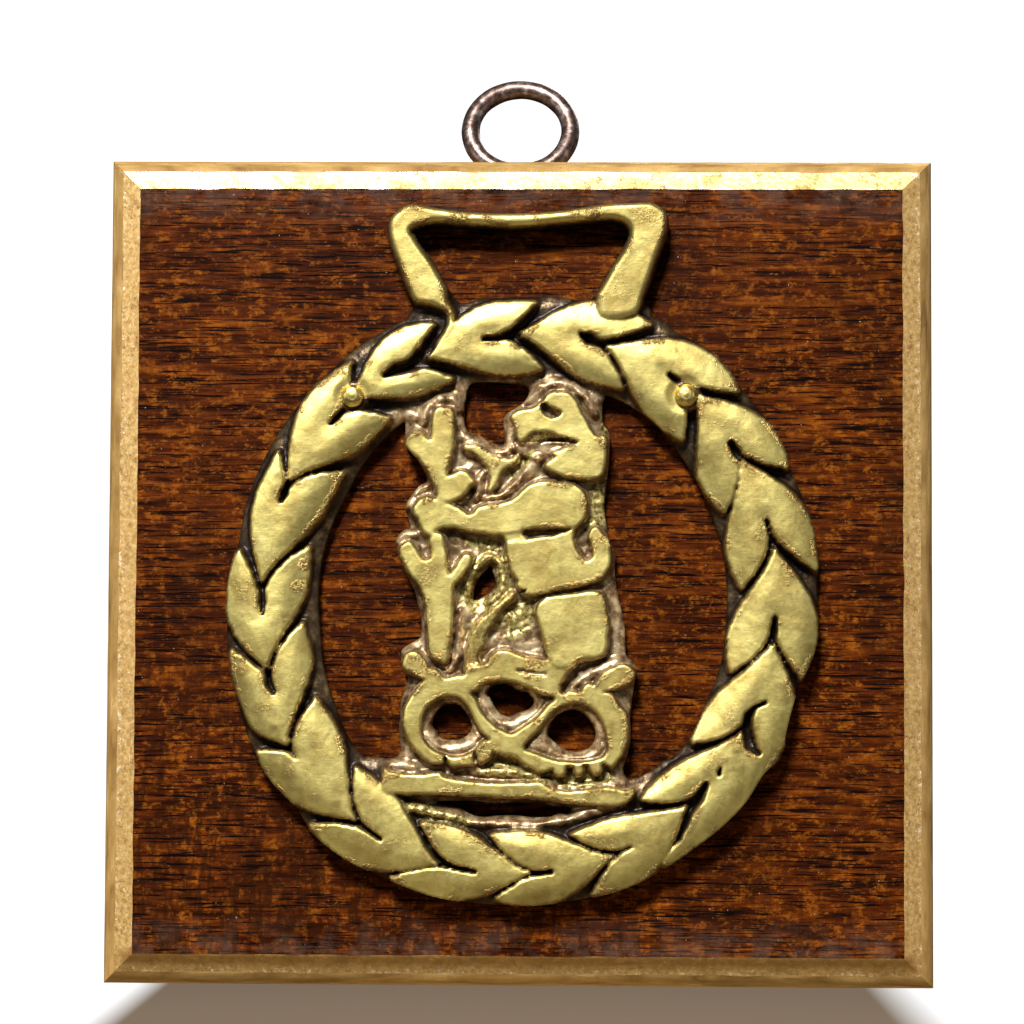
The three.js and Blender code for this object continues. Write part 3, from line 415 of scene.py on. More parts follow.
def noise(size, seed, octaves=1):
    """Smooth random bumps of about this size, from -1 to 1."""
    total = np.zeros(X.shape)
    for octave in range(octaves):
        cell = size / 2**octave
        shape = int(NOISE_SPAN[0] / cell) + 4, int(NOISE_SPAN[1] / cell) + 4
        lattice = np.random.RandomState(seed + octave).uniform(-1, 1, shape)
        u, v = (X - GRID_X[0]) / cell, (Z - GRID_Z[0]) / cell
        i, j = u.astype(int), v.astype(int)
        s, t = u - i, v - j
        s, t = s * s * (3 - 2 * s), t * t * (3 - 2 * t)
        low = lattice[j, i] * (1 - s) + lattice[j, i + 1] * s
        high = lattice[j + 1, i] * (1 - s) + lattice[j + 1, i + 1] * s
        total += (low * (1 - t) + high * t) / 2**octave
    return total / (2 - 0.5 ** (octaves - 1))


def blurred(field, radius):
    """The field, smoothed over a radius in millimetres."""
    reach = int(3 * radius / STEP)
    weights = np.exp(-0.5 * (np.arange(-reach, reach + 1) * STEP / radius) ** 2)
    weights /= weights.sum()
    padded = np.pad(field, reach, mode="edge")
    rows = sum(w * padded[k:k + field.shape[0]] for k, w in enumerate(weights))
    return sum(w * rows[:, k:k + field.shape[1]] for k, w in enumerate(weights))


ANGLE = np.degrees(np.arctan2(X - WREATH[0], Z - WREATH[1])) % 360
RADIUS = np.hypot(X - WREATH[0], Z - WREATH[1])


# The part of its length by which a leaf swells to its full radius, and the pairs whose outer leaf is quicker.
FULL_AT = 0.68
QUICK = {13: 0.34, 14: 0.52, 7: 0.5}
# Places where the casting joins two neighbouring leaves.
JOINS = [
    [(26.9, -20.2), (28.2, -21.6), (30.8, -21.0), (31.6, -21.9), (30.4, -24.0), (28.4, -27.4), (26.6, -29.0),
     (26.8, -24)],
    [(19.4, -33.0), (18.0, -34.4), (17.6, -35.6), (20.0, -34.6), (21.4, -33.0), (20.4, -32.2)],
]


def leaf_side(root, notch, leaf, side, full_at=FULL_AT):
    """From the root along one leaf's edge to its tip, and back to the notch."""
    tip, tip_radius, full = leaf
    edge = []
    for part in (0.06, 0.16, 0.3, 0.44, 0.58, 0.74, 0.9):
        swell = math.sin(math.pi / 2 * min(1, part / full_at) ** 1.15)
        drop = (tip_radius - full) * max(0, (part - 0.74) / 0.26) ** 2
        edge.append((root[0] + part * (tip - root[0]), root[1] + (full - root[1]) * swell + drop))
    start = notch[1] + side * 0.15
    power = 2.2 if side > 0 else 2.0
    back = [(notch[0] + part * (tip - notch[0]), start + (tip_radius - start) * part**power)
            for part in (0.94, 0.8, 0.6, 0.4, 0.2, 0)]
    return [*edge, (tip, tip_radius), *back]


def leaf_pair(index):
    before, pair = LEAF_PAIRS[index - 1], LEAF_PAIRS[index]
    notch, _, outer, inner = pair
    root = (before[1][0] - (360 if before[1][0] > notch[0] else 0), before[1][1])
    outward = leaf_side(root, notch, outer, 1, QUICK.get(index, FULL_AT))
    places = [root, *outward, *reversed(leaf_side(root, notch, inner, -1))]
    return [on_wreath(*place) for place in places]


class Relief:
    """The casting's front: its height over the flat back, and how worn bright it is."""

    def __init__(self, silhouette):
        inside = np.clip(-silhouette, 0, FAR)
        self.rough = 0.5 * noise(1.3, 5, 3) + 0.5 * noise(0.6, 15, 2)
        self.pale = ease(RADIUS + 0.5 * self.rough, 28.3, 26.6) * ease(np.abs(X), 17.5, 14.5)
        ragged = 0.5 * noise(0.9, 87, 2)
        self.crust = np.max([ease(along(stroke, 2.4) + ragged, 1.35, 0.75) for stroke in CRUST], 0)
        lumps = 0.1 * self.rough + 0.34 * self.pale * np.abs(noise(2.1, 7, 2))
        lumps += self.crust * (0.13 * noise(0.5, 83) + 0.16 * noise(0.85, 85, 2))
        self.height = 0.75 + 1.1 * np.sqrt(ease(inside, -0.35, 1.5)) + lumps
        self.bright = np.zeros(X.shape)

    def raise_pad(self, away, top, round_, skirt=0.45, bright=1.0):
        """A pad with a rounded edge and a soft foot."""
        depth = -away
        t = np.clip(depth / round_, 0, 1)
        lift = np.sqrt(1 - (1 - t) ** 2)
        foot = 0.22 * np.clip(1 + depth / skirt, 0, 1) ** 2
        share = np.where(depth > 0, 0.22 + 0.78 * lift, foot)
        pad = self.height + np.maximum(top - self.height, 0) * share
        self.height = np.maximum(self.height, pad)
        self.bright = np.maximum(self.bright, bright * ease(depth, 0.02, 0.34))

    def cut(self, share, floor, soft):
        """A hollow along a stroke, down to the floor height."""
        t = ease(share, 1.0 + soft, 0.35)
        self.height = self.height + np.minimum(floor - self.height, 0) * t
        self.bright = self.bright * (1 - ease(share, 1.1, 0.8))

    def ridge(self, share, lift, bright=0.2):
        """A soft ridge along a stroke, or a groove where the lift is negative."""
        t = ease(share, 2.0, 0.2)
        self.height = self.height + lift * t
        self.bright = np.maximum(self.bright, bright * t)


def silhouette():
    """Distance outside the casting's own outline."""
    ring = np.maximum(RADIUS - rim(RIM_OUTER), rim(RIM_INNER) - RADIUS)
    body = np.minimum(ring, outside(PANEL))
    for hole in (TOP_OPENING, SIDE_OPENING, BAR_OPENING, *KNOT_HOLES):
        body = np.maximum(body, -outside(hole))
    strap = np.minimum(body, outside(STRAP))
    return np.maximum(strap, -outside(STRAP_SLOT))


def leaves(relief):
    across = ease(np.abs(RADIUS - 31.7), 1.0, 6.3)
    top = LEAF_TOP - 0.8 * across**1.5 + 0.045 * noise(3.6, 31, 2)
    away = np.minimum.reduce([outside(leaf_pair(index), 4) for index in range(len(LEAF_PAIRS))])
    away = np.minimum.reduce([away, *(outside(points) for points in JOINS)]) - 0.32 + 0.12 * noise(0.6, 33, 2)
    relief.raise_pad(away, top - 0.05 + 0.12 * ease(-away, 0.0, 2.4), 0.5, 0.25)
    for stroke in WREATH_CUTS:
        placed = [(*on_wreath(degrees, radius), half) for degrees, radius, half in stroke]
        relief.cut(along(placed), 2.1, 0.25)


def strap_bar(relief):
    legs = STRAP[:16] + [(14.6, 31.2), (12.2, 30.4), (9.8, 30.8), (9.0, 33.4), (7.0, 36.5), (-7.0, 36.5),
                         (-8.6, 33.4), (-7.6, 31.0), (-8.2, 28.6), (-10.2, 26.8), (-10.4, 27.4), (-9.2, 29.3),
                         (-9.1, 30.8), (-10.6, 31.7)] + STRAP[-4:]
    away = np.maximum(outside(legs) + 0.1, 0.08 - outside(STRAP_SLOT))
    relief.raise_pad(away, 3.75 + 0.03 * noise(3, 41), 0.8, 0.35)


def bear_and_knot(relief):
    uneven = 0.035 * noise(2.6, 51, 2)
    ragged = 0.1 * noise(0.6, 53, 2)
    for points, top, round_, bright in (
        (JAW, 2.8, 0.6, 0.1), (UNDER_MUZZLE, 3.15, 0.8, 0.5), (FORELEG, 3.2, 0.5, 0.55),
        (STAFF_ABOVE, FIGURE_TOP, 0.45, 1), (STAFF_BELOW, FIGURE_TOP, 0.45, 1), (TORSO, FIGURE_TOP, 0.4, 1),
        (THIGH, FIGURE_TOP, 0.55, 1), (MUZZLE_CHAIN, 3.1, 0.4, 0.8), (HEAD, FIGURE_TOP, 0.45, 1),
        (BASE_BAR, 3.6, 0.4, 1), (ARM, FIGURE_TOP, 0.5, 1),
        *((join, FIGURE_TOP - 0.08, 0.4, 1) for join in FIGURE_JOINS),
    ):
        relief.raise_pad(outside(points) - 0.3 + ragged, top + uneven, round_, bright=bright)
    lips = [outside(points) for points in KNOT_LIPS]
    band = outside(KNOT)
    for lip in lips:
        band = np.maximum(band, -lip)
    relief.raise_pad(band - 0.26 + ragged, 3.55 + uneven, 0.4)
    for lip, hole in zip(lips, KNOT_HOLES):
        slope = np.clip(outside(hole), 0, 1.3) / 1.3
        rounded = 1.15 + 1.5 * np.sqrt(1 - (1 - slope) ** 2) + 0.05 * relief.rough
        inside = ease(-lip, 0.0, 0.3)
        relief.height = relief.height * (1 - inside) + rounded * inside
        relief.ridge(np.abs(lip + 0.15) / 0.18, -0.28, 0)


def small_marks(relief):
    for stroke in FIGURE_CUTS:
        relief.cut(along(stroke), 2.2, 0.1)
    relief.cut(along(SLIT), 3.1, 0.1)
    relief.cut(0.9 + (outside(EYE_PIT) + 0.08) / 0.25, 2.3, 0.3)
    for stroke in RIDGES:
        flat = 1 - ease(relief.height, 2.6, 3.1)
        relief.ridge(along(stroke) + 0.35 * noise(1.4, 93, 2), 0.75 * flat)
    for x, z in PINS:
        around = np.hypot(X - x, Z - z)
        seat = 1 - ease(around, 1.5, 2.6)
        relief.height = relief.height * (1 - seat) + (3.54 + 0.02 * relief.rough) * seat


casting_edge = silhouette()
relief = Relief(casting_edge)
leaves(relief)
strap_bar(relief)
bear_and_knot(relief)
small_marks(relief)
relief.height += 0.02 * noise(0.9, 61, 2) * relief.bright
relief.height = np.clip(relief.height, 0.6, 3.95)
# How far each place lies below its blurred surroundings: it dims the wear, and the brass's colour paints
# shade into the hollows from it.
hollow = np.clip((blurred(relief.height, 0.7) - relief.height) / 0.5, 0, 1)
wear = np.clip(relief.bright * (1 - 0.9 * hollow), 0, 1)


# ---------------------------------------------------------------- materials

class Nodes:
    """A material's node tree, with short calls to make and link nodes."""

    def __init__(self, name):
        self.material = bpy.data.materials.new(name)
        self.material.use_nodes = True
        self.tree = self.material.node_tree
        self.shader = self.tree.nodes["Principled BSDF"]

    def make(self, kind, **inputs):
        node = self.tree.nodes.new(kind)
        for key, value in inputs.items():
            self.put(node, key, value)
        return node

    def put(self, node, key, value):
        name = key.replace("_", " ")
        socket = next((s for s in node.inputs if s.name == name and s.enabled), None)
        if socket is None:
            setattr(node, key, value)
        else:
            self.feed(socket, value)

    def feed(self, socket, value):
        """Link another node's output to the socket, or set a constant there."""
        if isinstance(value, bpy.types.NodeSocket):
            self.tree.links.new(value, socket)
        elif socket.type == "RGBA" and isinstance(value, tuple):
            socket.default_value = (*value, 1)
        else:
            socket.default_value = value

    def position(self, scale=(1, 1, 1)):
        """Place on the part in millimetres, stretched."""
        coordinates = self.make("ShaderNodeTexCoord").outputs["Object"]
        mapping = self.make("ShaderNodeMapping", Vector=coordinates, Scale=tuple(1000 * s for s in scale))
        return mapping.outputs["Vector"]

    def noise(self, where, scale, detail=3.0, rough=0.5, distortion=0.0):
        node = self.make("ShaderNodeTexNoise", Vector=where, Scale=scale, Detail=detail, Roughness=rough,
                         Distortion=distortion)
        return node.outputs["Fac"]

    def ramp(self, value, *stops):
        """Colours, or plain numbers, at places between 0 and 1."""
        node = self.make("ShaderNodeValToRGB", Fac=value)
        while len(node.color_ramp.elements) < len(stops):
            node.color_ramp.elements.new(0.5)
        for element, (place, colour) in zip(node.color_ramp.elements, stops):
            element.position = place
            element.color = (*colour, 1) if isinstance(colour, tuple) else (colour, colour, colour, 1)
        return node.outputs["Color"]

    def math(self, operation, a, b=0.0, clamp=False):
        node = self.tree.nodes.new("ShaderNodeMath")
        node.operation, node.use_clamp = operation, clamp
        for socket, value in zip(node.inputs, (a, b)):
            self.feed(socket, value)
        return node.outputs[0]

    def times(self, a, b):
        return self.math("MULTIPLY", a, b)

    def plus(self, a, b):
        return self.math("ADD", a, b)

    def minus(self, a, b, clamp=False):
        return self.math("SUBTRACT", a, b, clamp)

    def mix(self, share, a, b):
        """Two colours mixed: all of the second where the share is 1."""
        node = self.tree.nodes.new("ShaderNodeMix")
        node.data_type = "RGBA"
        for place, value in ((0, share), (6, a), (7, b)):
            self.feed(node.inputs[place], value)
        return node.outputs[2]

    def attribute(self, name):
        return self.make("ShaderNodeAttribute", attribute_name=name).outputs["Fac"]

    def bump(self, height, distance, strength=1.0, over=None):
        node = self.make("ShaderNodeBump", Height=height, Distance=distance * MM, Strength=strength)
        if over is not None:
            self.put(node, "Normal", over)
        return node.outputs["Normal"]

    def finish(self, **inputs):
        for key, value in inputs.items():
            self.put(self.shader, key, value)
        return self.material


def cast_brass():
    n = Nodes("cast_brass")
    at = n.position()
    worn, hollow_at, stain_and_shade = (n.attribute(name) for name in ("worn", "hollow", "stain_and_shade"))
    pale, crust = n.attribute("pale"), n.attribute("crust")
    cloud = n.noise(at, 0.28, 4, 0.6)
    fine = n.noise(at, 2.4, 4, 0.65)
    polished = n.ramp(cloud, (0.3, (0.48, 0.39, 0.115)), (0.52, (0.64, 0.535, 0.17)),
                      (0.75, (0.74, 0.64, 0.225)))
    tarnish = n.ramp(n.noise(at, 0.17, 5, 0.65), (0.46, 0.0), (0.62, 0.6))
    polished = n.mix(tarnish, polished, (0.42, 0.29, 0.075))
    polished = n.mix(n.ramp(fine, (0.35, 0.0), (0.75, 0.35)), polished, (0.47, 0.39, 0.17))
    specks = n.ramp(n.noise(at, 1.1, 5, 0.75), (0.62, 0.0), (0.70, 1.0))
    polished = n.mix(n.times(specks, 0.55), polished, (0.20, 0.15, 0.07))
    cast = n.noise(at, 0.7, 4, 0.62)
    grime = n.ramp(cast, (0.35, (0.024, 0.014, 0.006)), (0.55, (0.085, 0.052, 0.022)),
                   (0.75, (0.24, 0.165, 0.070)))
    bare = n.ramp(cast, (0.32, (0.075, 0.038, 0.014)), (0.47, (0.30, 0.185, 0.085)),
                  (0.62, (0.66, 0.50, 0.28)))
    olive = n.ramp(n.noise(at, 1.6, 5, 0.72), (0.36, (0.055, 0.034, 0.008)), (0.48, (0.34, 0.25, 0.065)),
                   (0.62, (0.78, 0.66, 0.27)))
    ground = n.mix(crust, n.mix(pale, grime, bare), olive)
    mask = n.minus(worn, n.times(n.minus(fine, 0.5), 0.7))
    mask = n.ramp(mask, (0.28, 0.0), (0.46, 1.0))
    colour = n.mix(mask, ground, polished)
    fringe = n.ramp(worn, (0.12, 0.0), (0.4, 1.0), (0.93, 0.0))
    rust = n.times(fringe, n.ramp(fine, (0.38, 0.15), (0.54, 0.95)))
    colour = n.mix(rust, colour, (0.10, 0.042, 0.012))
    # Brown spots and tarnish, with painted shade on the strap and on slopes that face down; they also dull
    # the polish.
    stain_shade = n.times(stain_and_shade, n.ramp(fine, (0.38, 0.45), (0.58, 1.0)))
    colour = n.mix(stain_shade, colour, n.ramp(cast, (0.4, (0.085, 0.036, 0.010)), (0.6, (0.22, 0.105, 0.025))))
    # Painted shade over the dark grime of the hollows: near black in narrow hollows and at the side walls'
    # foot, less in the pale ground.
    depth = n.times(hollow_at, n.minus(0.95, n.times(pale, 0.45)))
    colour = n.mix(depth, colour, (0.012, 0.007, 0.004))
    mask = n.minus(mask, n.ramp(stain_shade, (0.4, 0.0), (0.9, 0.7)), True)
    roughness = n.mix(mask, n.ramp(fine, (0.2, 0.28), (0.8, 0.46)), n.ramp(fine, (0.25, 0.42), (0.8, 0.55)))
    metallic = n.ramp(mask, (0.0, 0.6), (1.0, 1.0))
    scratches = n.noise(n.position((0.25, 1, 3.2)), 3.0, 2, 0.5)
    coarse = n.bump(n.times(cast, n.minus(1.0, mask)), 0.35, 0.5)
    normal = n.bump(fine, 0.05, 0.45, coarse)
    normal = n.bump(scratches, 0.012, 0.6, normal)
    pits = n.bump(specks, -0.03, 0.4, normal)
    return n.finish(Base_Color=colour, Roughness=roughness, Metallic=metallic, Normal=pits)


def mahogany():
    n = Nodes("mahogany")
    at = n.position()
    streak = n.noise(n.position((0.10, 1, 1)), 1.3, 5, 0.62, 0.25)
    figure = n.noise(n.position((0.35, 1, 0.07)), 0.5, 4, 0.6, 0.8)
    cross = n.noise(n.position((1, 1, 0.30)), 0.85, 4, 0.65, 0.3)
    flecks = n.noise(n.position((0.5, 1, 0.8)), 1.5, 5, 0.75)
    x, _, z = n.make("ShaderNodeSeparateXYZ", Vector=at).outputs
    low_left = n.times(n.plus(n.times(x, 0.5), z), 0.012)
    plaid = n.ramp(n.plus(low_left, 0.6), (0.0, 1.0), (0.45, 0.3))
    wood = n.ramp(streak, (0.34, (0.008, 0.0016, 0.0003)), (0.46, (0.036, 0.0062, 0.0007)),
                  (0.58, (0.085, 0.017, 0.0015)), (0.72, (0.19, 0.050, 0.0035)))
    wood = n.mix(n.ramp(flecks, (0.51, 0.0), (0.63, 0.75)), wood, (0.24, 0.066, 0.0045))
    bars = n.times(n.ramp(cross, (0.46, 0.0), (0.56, 0.75)), plaid)
    wood = n.mix(bars, wood, (0.016, 0.0036, 0.0007))
    wood = n.mix(n.ramp(figure, (0.46, 0.0), (0.66, 0.5)), wood, (0.018, 0.004, 0.0010))
    pores = n.noise(n.position((0.10, 1, 2.2)), 1.8, 3, 0.55, 0.15)
    pore = n.ramp(pores, (0.38, 1.0), (0.44, 0.0))
    wood = n.mix(pore, wood, (0.003, 0.0008, 0.0004))
    haze = n.ramp(n.times(n.math("ABSOLUTE", z), 0.02), (0.84, 0.0), (0.93, 0.5))
    haze = n.times(haze, n.ramp(n.noise(at, 0.3, 5, 0.7), (0.42, 0.0), (0.6, 1.0)))
    wood = n.mix(haze, wood, (0.09, 0.052, 0.036))
    dust = n.ramp(n.noise(at, 2.2, 2, 0.9), (0.735, 0.0), (0.76, 0.8))
    wood = n.mix(dust, wood, (0.45, 0.36, 0.30))
    height = n.minus(streak, n.times(pore, 0.8))
    return n.finish(Base_Color=wood, Roughness=0.5, Specular_IOR_Level=0.03,
                    Normal=n.bump(height, 0.12, 0.55))


def gilding():
    """Worn gold leaf, with the red-brown ground showing through in specks."""
    n = Nodes("gilding")
    at = n.position()
    grain = n.noise(at, 1.6, 5, 0.7)
    gold = n.ramp(grain, (0.3, (0.36, 0.185, 0.045)), (0.55, (0.68, 0.43, 0.15)), (0.75, (0.90, 0.64, 0.30)))
    worn = n.ramp(n.noise(n.position((0.6, 1, 0.6)), 1.1, 6, 0.85), (0.56, 0.0), (0.61, 0.9))
    colour = n.mix(worn, gold, (0.20, 0.080, 0.020))
    crease = n.ramp(n.times(n.attribute("across"), 0.2), (0.40, 0.075), (0.56, 0.0))
    glint = n.plus(n.noise(at, 1.7, 4, 0.8), crease)
    colour = n.mix(n.ramp(glint, (0.61, 0.0), (0.67, 0.75)), colour, (1.0, 0.86, 0.58))
    _, _, z = n.make("ShaderNodeSeparateXYZ", Vector=at).outputs
    # Darker and browner on the bottom bevel, more so towards the face.
    low = n.ramp(n.times(z, -0.02), (0.92, 0.0), (0.945, 0.85))
    face_side = n.ramp(n.times(n.attribute("across"), 0.2), (0.46, 0.35), (0.62, 1.0))
    colour = n.mix(n.times(low, face_side), colour, (0.25, 0.115, 0.022))
    roughness = n.mix(worn, n.ramp(grain, (0.3, 0.30), (0.7, 0.48)), (0.55, 0.55, 0.55))
    metallic = n.minus(0.65, n.times(worn, 0.55))
    return n.finish(Base_Color=colour, Roughness=roughness, Metallic=metallic,
                    Normal=n.bump(grain, 0.07, 0.6))


def painted_edge():
    """Thin gold paint on the outer bevel, with the wood's grain under it, running along each side."""
    n = Nodes("painted_edge")
    run = n.times(n.attribute("run"), 0.11)
    across = n.times(n.attribute("across"), 1.5)
    grain = n.noise(n.make("ShaderNodeCombineXYZ", X=run, Y=across).outputs["Vector"], 1.3, 5, 0.62, 0.2)
    colour = n.ramp(grain, (0.28, (0.13, 0.060, 0.014)), (0.42, (0.29, 0.16, 0.042)),
                    (0.6, (0.43, 0.26, 0.082)), (0.75, (0.66, 0.43, 0.165)))
    speck = n.ramp(n.noise(n.position(), 2.2, 4, 0.75), (0.60, 0.0), (0.68, 0.6))
    colour = n.mix(speck, colour, (0.13, 0.065, 0.02))
    return n.finish(Base_Color=colour, Roughness=0.45, Metallic=0.15, Normal=n.bump(grain, 0.12, 0.6))


def sawn_back():
    n = Nodes("sawn_back")
    grain = n.noise(n.position((0.06, 1, 1.1)), 1.4, 5, 0.6, 0.2)
    saw = n.noise(n.position((1.2, 1, 0.05)), 1.4, 2, 0.5)
    colour = n.ramp(grain, (0.3, (0.11, 0.042, 0.018)), (0.7, (0.24, 0.105, 0.045)))
    height = n.plus(grain, n.times(saw, 0.5))
    return n.finish(Base_Color=colour, Roughness=0.7, Normal=n.bump(height, 0.12, 0.7))


def pin_brass():
    n = Nodes("pin_brass")
    at = n.position()
    cloud = n.noise(at, 1.8, 4, 0.6)
    colour = n.ramp(cloud, (0.3, (0.66, 0.48, 0.13)), (0.7, (0.90, 0.72, 0.26)))
    return n.finish(Base_Color=colour, Roughness=n.ramp(cloud, (0.2, 0.30), (0.8, 0.42)), Metallic=1.0,
                    Normal=n.bump(n.noise(at, 4.0, 3, 0.6), 0.02, 0.4))


def dark_metal():
    n = Nodes("dark_metal")
    at = n.position()
    cloud = n.noise(at, 0.9, 5, 0.65)
    colour = n.ramp(cloud, (0.3, (0.075, 0.042, 0.032)), (0.5, (0.17, 0.112, 0.092)),
                    (0.7, (0.46, 0.38, 0.35)))
    return n.finish(Base_Color=colour, Roughness=n.ramp(cloud, (0.3, 0.30), (0.8, 0.46)), Metallic=0.9,
                    Normal=n.bump(n.noise(at, 3.0, 4, 0.6), 0.03, 0.5))


# ---------------------------------------------------------------- pieces

def piece(name, mesh, materials, node):
    made = bpy.data.objects.new(name, mesh)
    bpy.context.collection.objects.link(made)
    for material in materials:
        mesh.materials.append(material)
    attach(made, "root")
    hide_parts(node)


def paint(mesh, name, values):
    """A number for each vertex, for the material to read."""
    layer = mesh.attributes.new(name, "FLOAT", "POINT")
    layer.data.foreach_set("value", values.astype(np.float32))


def kept_cells(field):
    """Grid cells inside the outline, without any that only touch at a corner."""
    inside = field < 0.5 * STEP
    cells = inside[:-1, :-1] & inside[1:, :-1] & inside[:-1, 1:] & inside[1:, 1:]
    for _ in range(6):
        a, b = cells[:-1, :-1], cells[1:, 1:]
        c, d = cells[1:, :-1], cells[:-1, 1:]
        first, second = a & b & ~c & ~d, c & d & ~a & ~b
        if not (first.any() or second.any()):
            break
        cells[:-1, :-1][first] = False
        cells[1:, :-1][second] = False
    return cells


def covered(places, triangles, ring, links):
    """The triangles whose middles lie inside the outline that the links draw."""
    middles = np.array([sum((places[k] for k in face), Vector((0, 0))) / 3 for face in triangles])
    inside = np.zeros(len(middles), bool)
    for a, b in links:
        inside ^= crosses(middles[:, 0], middles[:, 1], ring[a], ring[b])
    return [face for face, kept in zip(triangles, inside) if kept]


def grid_faces():
    """The casting's cells as faces, and the grid points that they use."""
    index = np.arange(X.size).reshape(X.shape)
    j, i = np.nonzero(kept_cells(casting_edge))
    quads = np.stack([index[j, i], index[j, i + 1], index[j + 1, i + 1], index[j + 1, i]], 1)
    used, flat = np.unique(quads, return_inverse=True)
    return flat.reshape(-1, 4), used


def open_edges(quads):
    """The edges that only one face has, in that face's direction."""
    sides = np.stack([quads, np.roll(quads, -1, 1)], 2).reshape(-1, 2)
    kept = {}
    for a, b in sides.tolist():
        if (b, a) in kept:
            del kept[b, a]
        else:
            kept[a, b] = True
    return list(kept)


def front_points(used, border):
    """The relief's vertices, with those at its border moved onto the outline."""
    dz, dx = np.gradient(casting_edge, STEP)
    x, z = X.ravel()[used], Z.ravel()[used]
    rim_at = used[border]
    gx, gz = dx.ravel()[rim_at], dz.ravel()[rim_at]
    reach = np.clip(casting_edge.ravel()[rim_at], -0.9 * STEP, 0.9 * STEP)
    move = reach / np.maximum(gx * gx + gz * gz, 0.25)
    x[border] -= move * gx
    z[border] -= move * gz
    return np.stack([x, -(BACK_Y + relief.height.ravel()[used]), z], 1)


def brass_mesh():
    """The relief, its side walls down to the flat back, and the back."""
    quads, used = grid_faces()
    walls = open_edges(quads)
    border = sorted({a for a, _ in walls})
    number = {vertex: k for k, vertex in enumerate(border)}
    links = [(number[a], number[b]) for a, b in walls]
    front = front_points(used, border)
    ring = front[border]
    middle, back = ring.copy(), ring.copy()
    middle[:, 1], back[:, 1] = -(BACK_Y + SIDE_FOOT), -BACK_Y
    faces = quads.tolist()
    m, r = len(front), len(front) + len(ring)
    for (a, b), (p, q) in zip(walls, links):
        faces.append([b, a, m + p, m + q])
        faces.append([m + q, m + p, r + p, r + q])
    plan = [Vector((x, z)) for x, _, z in ring]
    places, _, flat_faces, origin, _, _ = delaunay_2d_cdt(plan, links, [], 0, 1e-6)
    for face in covered(places, flat_faces, ring[:, [0, 2]], links):
        faces.append([r + origin[k][0] for k in reversed(face)])
    mesh = bpy.data.meshes.new("horse_brass_cast")
    mesh.from_pydata((np.concatenate([front, middle, back]) * MM).tolist(), [], faces)
    # Each field's values on the front, then at the side walls' foot and round the back; the hollow value at
    # the foot paints shade there.
    for name, field, foot, rear in (
        ("worn", wear, 0.1, 0.3), ("hollow", hollow, 0.7, 0), ("stain_and_shade", stain_and_shade, 0, 0),
        ("pale", relief.pale, 0, 0), ("crust", relief.crust, 0, 0),
    ):
        paint(mesh, name, np.concatenate([field.ravel()[used], np.repeat([foot, rear], len(ring))]))
    mesh.polygons.foreach_set("use_smooth", np.ones(len(mesh.polygons), bool))
    mesh.update()
    return mesh


def bridge(made, rings, materials=None):
    """Bands of faces between rings of vertices, any of which may be a single vertex."""
    for k, (low, high) in enumerate(zip(rings, rings[1:])):
        for i in range(max(len(low), len(high))):
            j = i + 1
            corners = [low[i % len(low)], low[j % len(low)], high[j % len(high)], high[i % len(high)]]
            face = made.faces.new(list(dict.fromkeys(corners)))
            face.material_index = materials[k] if materials else 0


def turned_ring(made, radius, height, sides):
    """A level ring of vertices round z, or a single vertex on it."""
    if radius == 0:
        return [made.verts.new((0, 0, height))]
    turns = [2 * math.pi * k / sides for k in range(sides)]
    return [made.verts.new((radius * math.cos(t), radius * math.sin(t), height)) for t in turns]


def lathe(profile, sides):
    """A closed turned shape from (radius, height) points; height runs along z."""
    made = bmesh.new()
    bridge(made, [turned_ring(made, radius, height, sides) for radius, height in profile])
    return made


def to_mesh(made, name, smooth_angle=35):
    bmesh.ops.recalc_face_normals(made, faces=made.faces)
    for face in made.faces:
        face.smooth = True
    for line in made.edges:
        if len(line.link_faces) == 2 and line.calc_face_angle(0) > math.radians(smooth_angle):
            line.smooth = False
    mesh = bpy.data.meshes.new(name)
    made.to_mesh(mesh)
    made.free()
    return mesh


# Brown spots on the wreath: degrees, radius, size and strength.
SPOTS = [
    (273, 27.2, 1.2, 0.8), (278.5, 26.8, 1, 0.9), (249.5, 31.9, 0.7, 0.6), (271.5, 26.6, 0.7, 0.5),
    (93, 33.5, 0.6, 0.3), (176, 35.5, 1.3, 0.25), (122, 31.5, 1.4, 0.6), (138, 31.8, 0.9, 0.5),
]
STAFF_SPOT = (-11, -0.4)


def stain_and_shade_map():
    """How brown each place is, from 0 to 1: brown spots, edge bands and tarnish, with painted shade on the
    strap and on slopes that face down.
    """
    bright = relief.bright
    layers = [np.zeros(X.shape)]
    for degrees, radius, size, share in SPOTS:
        x, z = on_wreath(degrees, radius)
        spot = np.hypot(X - x, Z - z) * (1 + 0.4 * noise(1.2, 71))
        layers.append(share * ease(spot, size * 1.2, size * 0.6))
    spot = np.hypot(X - STAFF_SPOT[0], Z - STAFF_SPOT[1]) * (1 + 0.3 * noise(1.2, 73))
    layers.append(0.5 * ease(spot, 2.2, 1.2) * bright)
    near_edges = bright * ease(blurred(bright, 0.7), 0.98, 0.75)
    layers.append(0.9 * near_edges * ease(noise(2.4, 91, 3), -0.15, 0.3))
    layers.append(0.5 * bright * ease(noise(3.0, 97, 3), 0.25, 0.55))
    # Tarnish over the strap, partly painted shade: it grows darker towards the bottom of the right leg.
    strap = 0.24 + 0.3 * noise(3.2, 99, 2) + 0.2 * ease(Z - 0.25 * X, 43.5, 38.0) * (X > 0)
    layers.append(np.clip(strap, 0, 1) * ease(Z, 30.5, 33.0) * bright)
    # Painted shade: slopes that face down, below the strap, are browned and dulled.
    faces_down = np.gradient(relief.height, STEP, axis=0)
    layers.append(ease(faces_down, 0.45, 1.2) * ease(Z, 38.0, 36.0))
    return np.maximum.reduce(layers)


stain_and_shade = stain_and_shade_map()
piece("horse_brass_cast", brass_mesh(), [cast_brass()], "horse_brass")

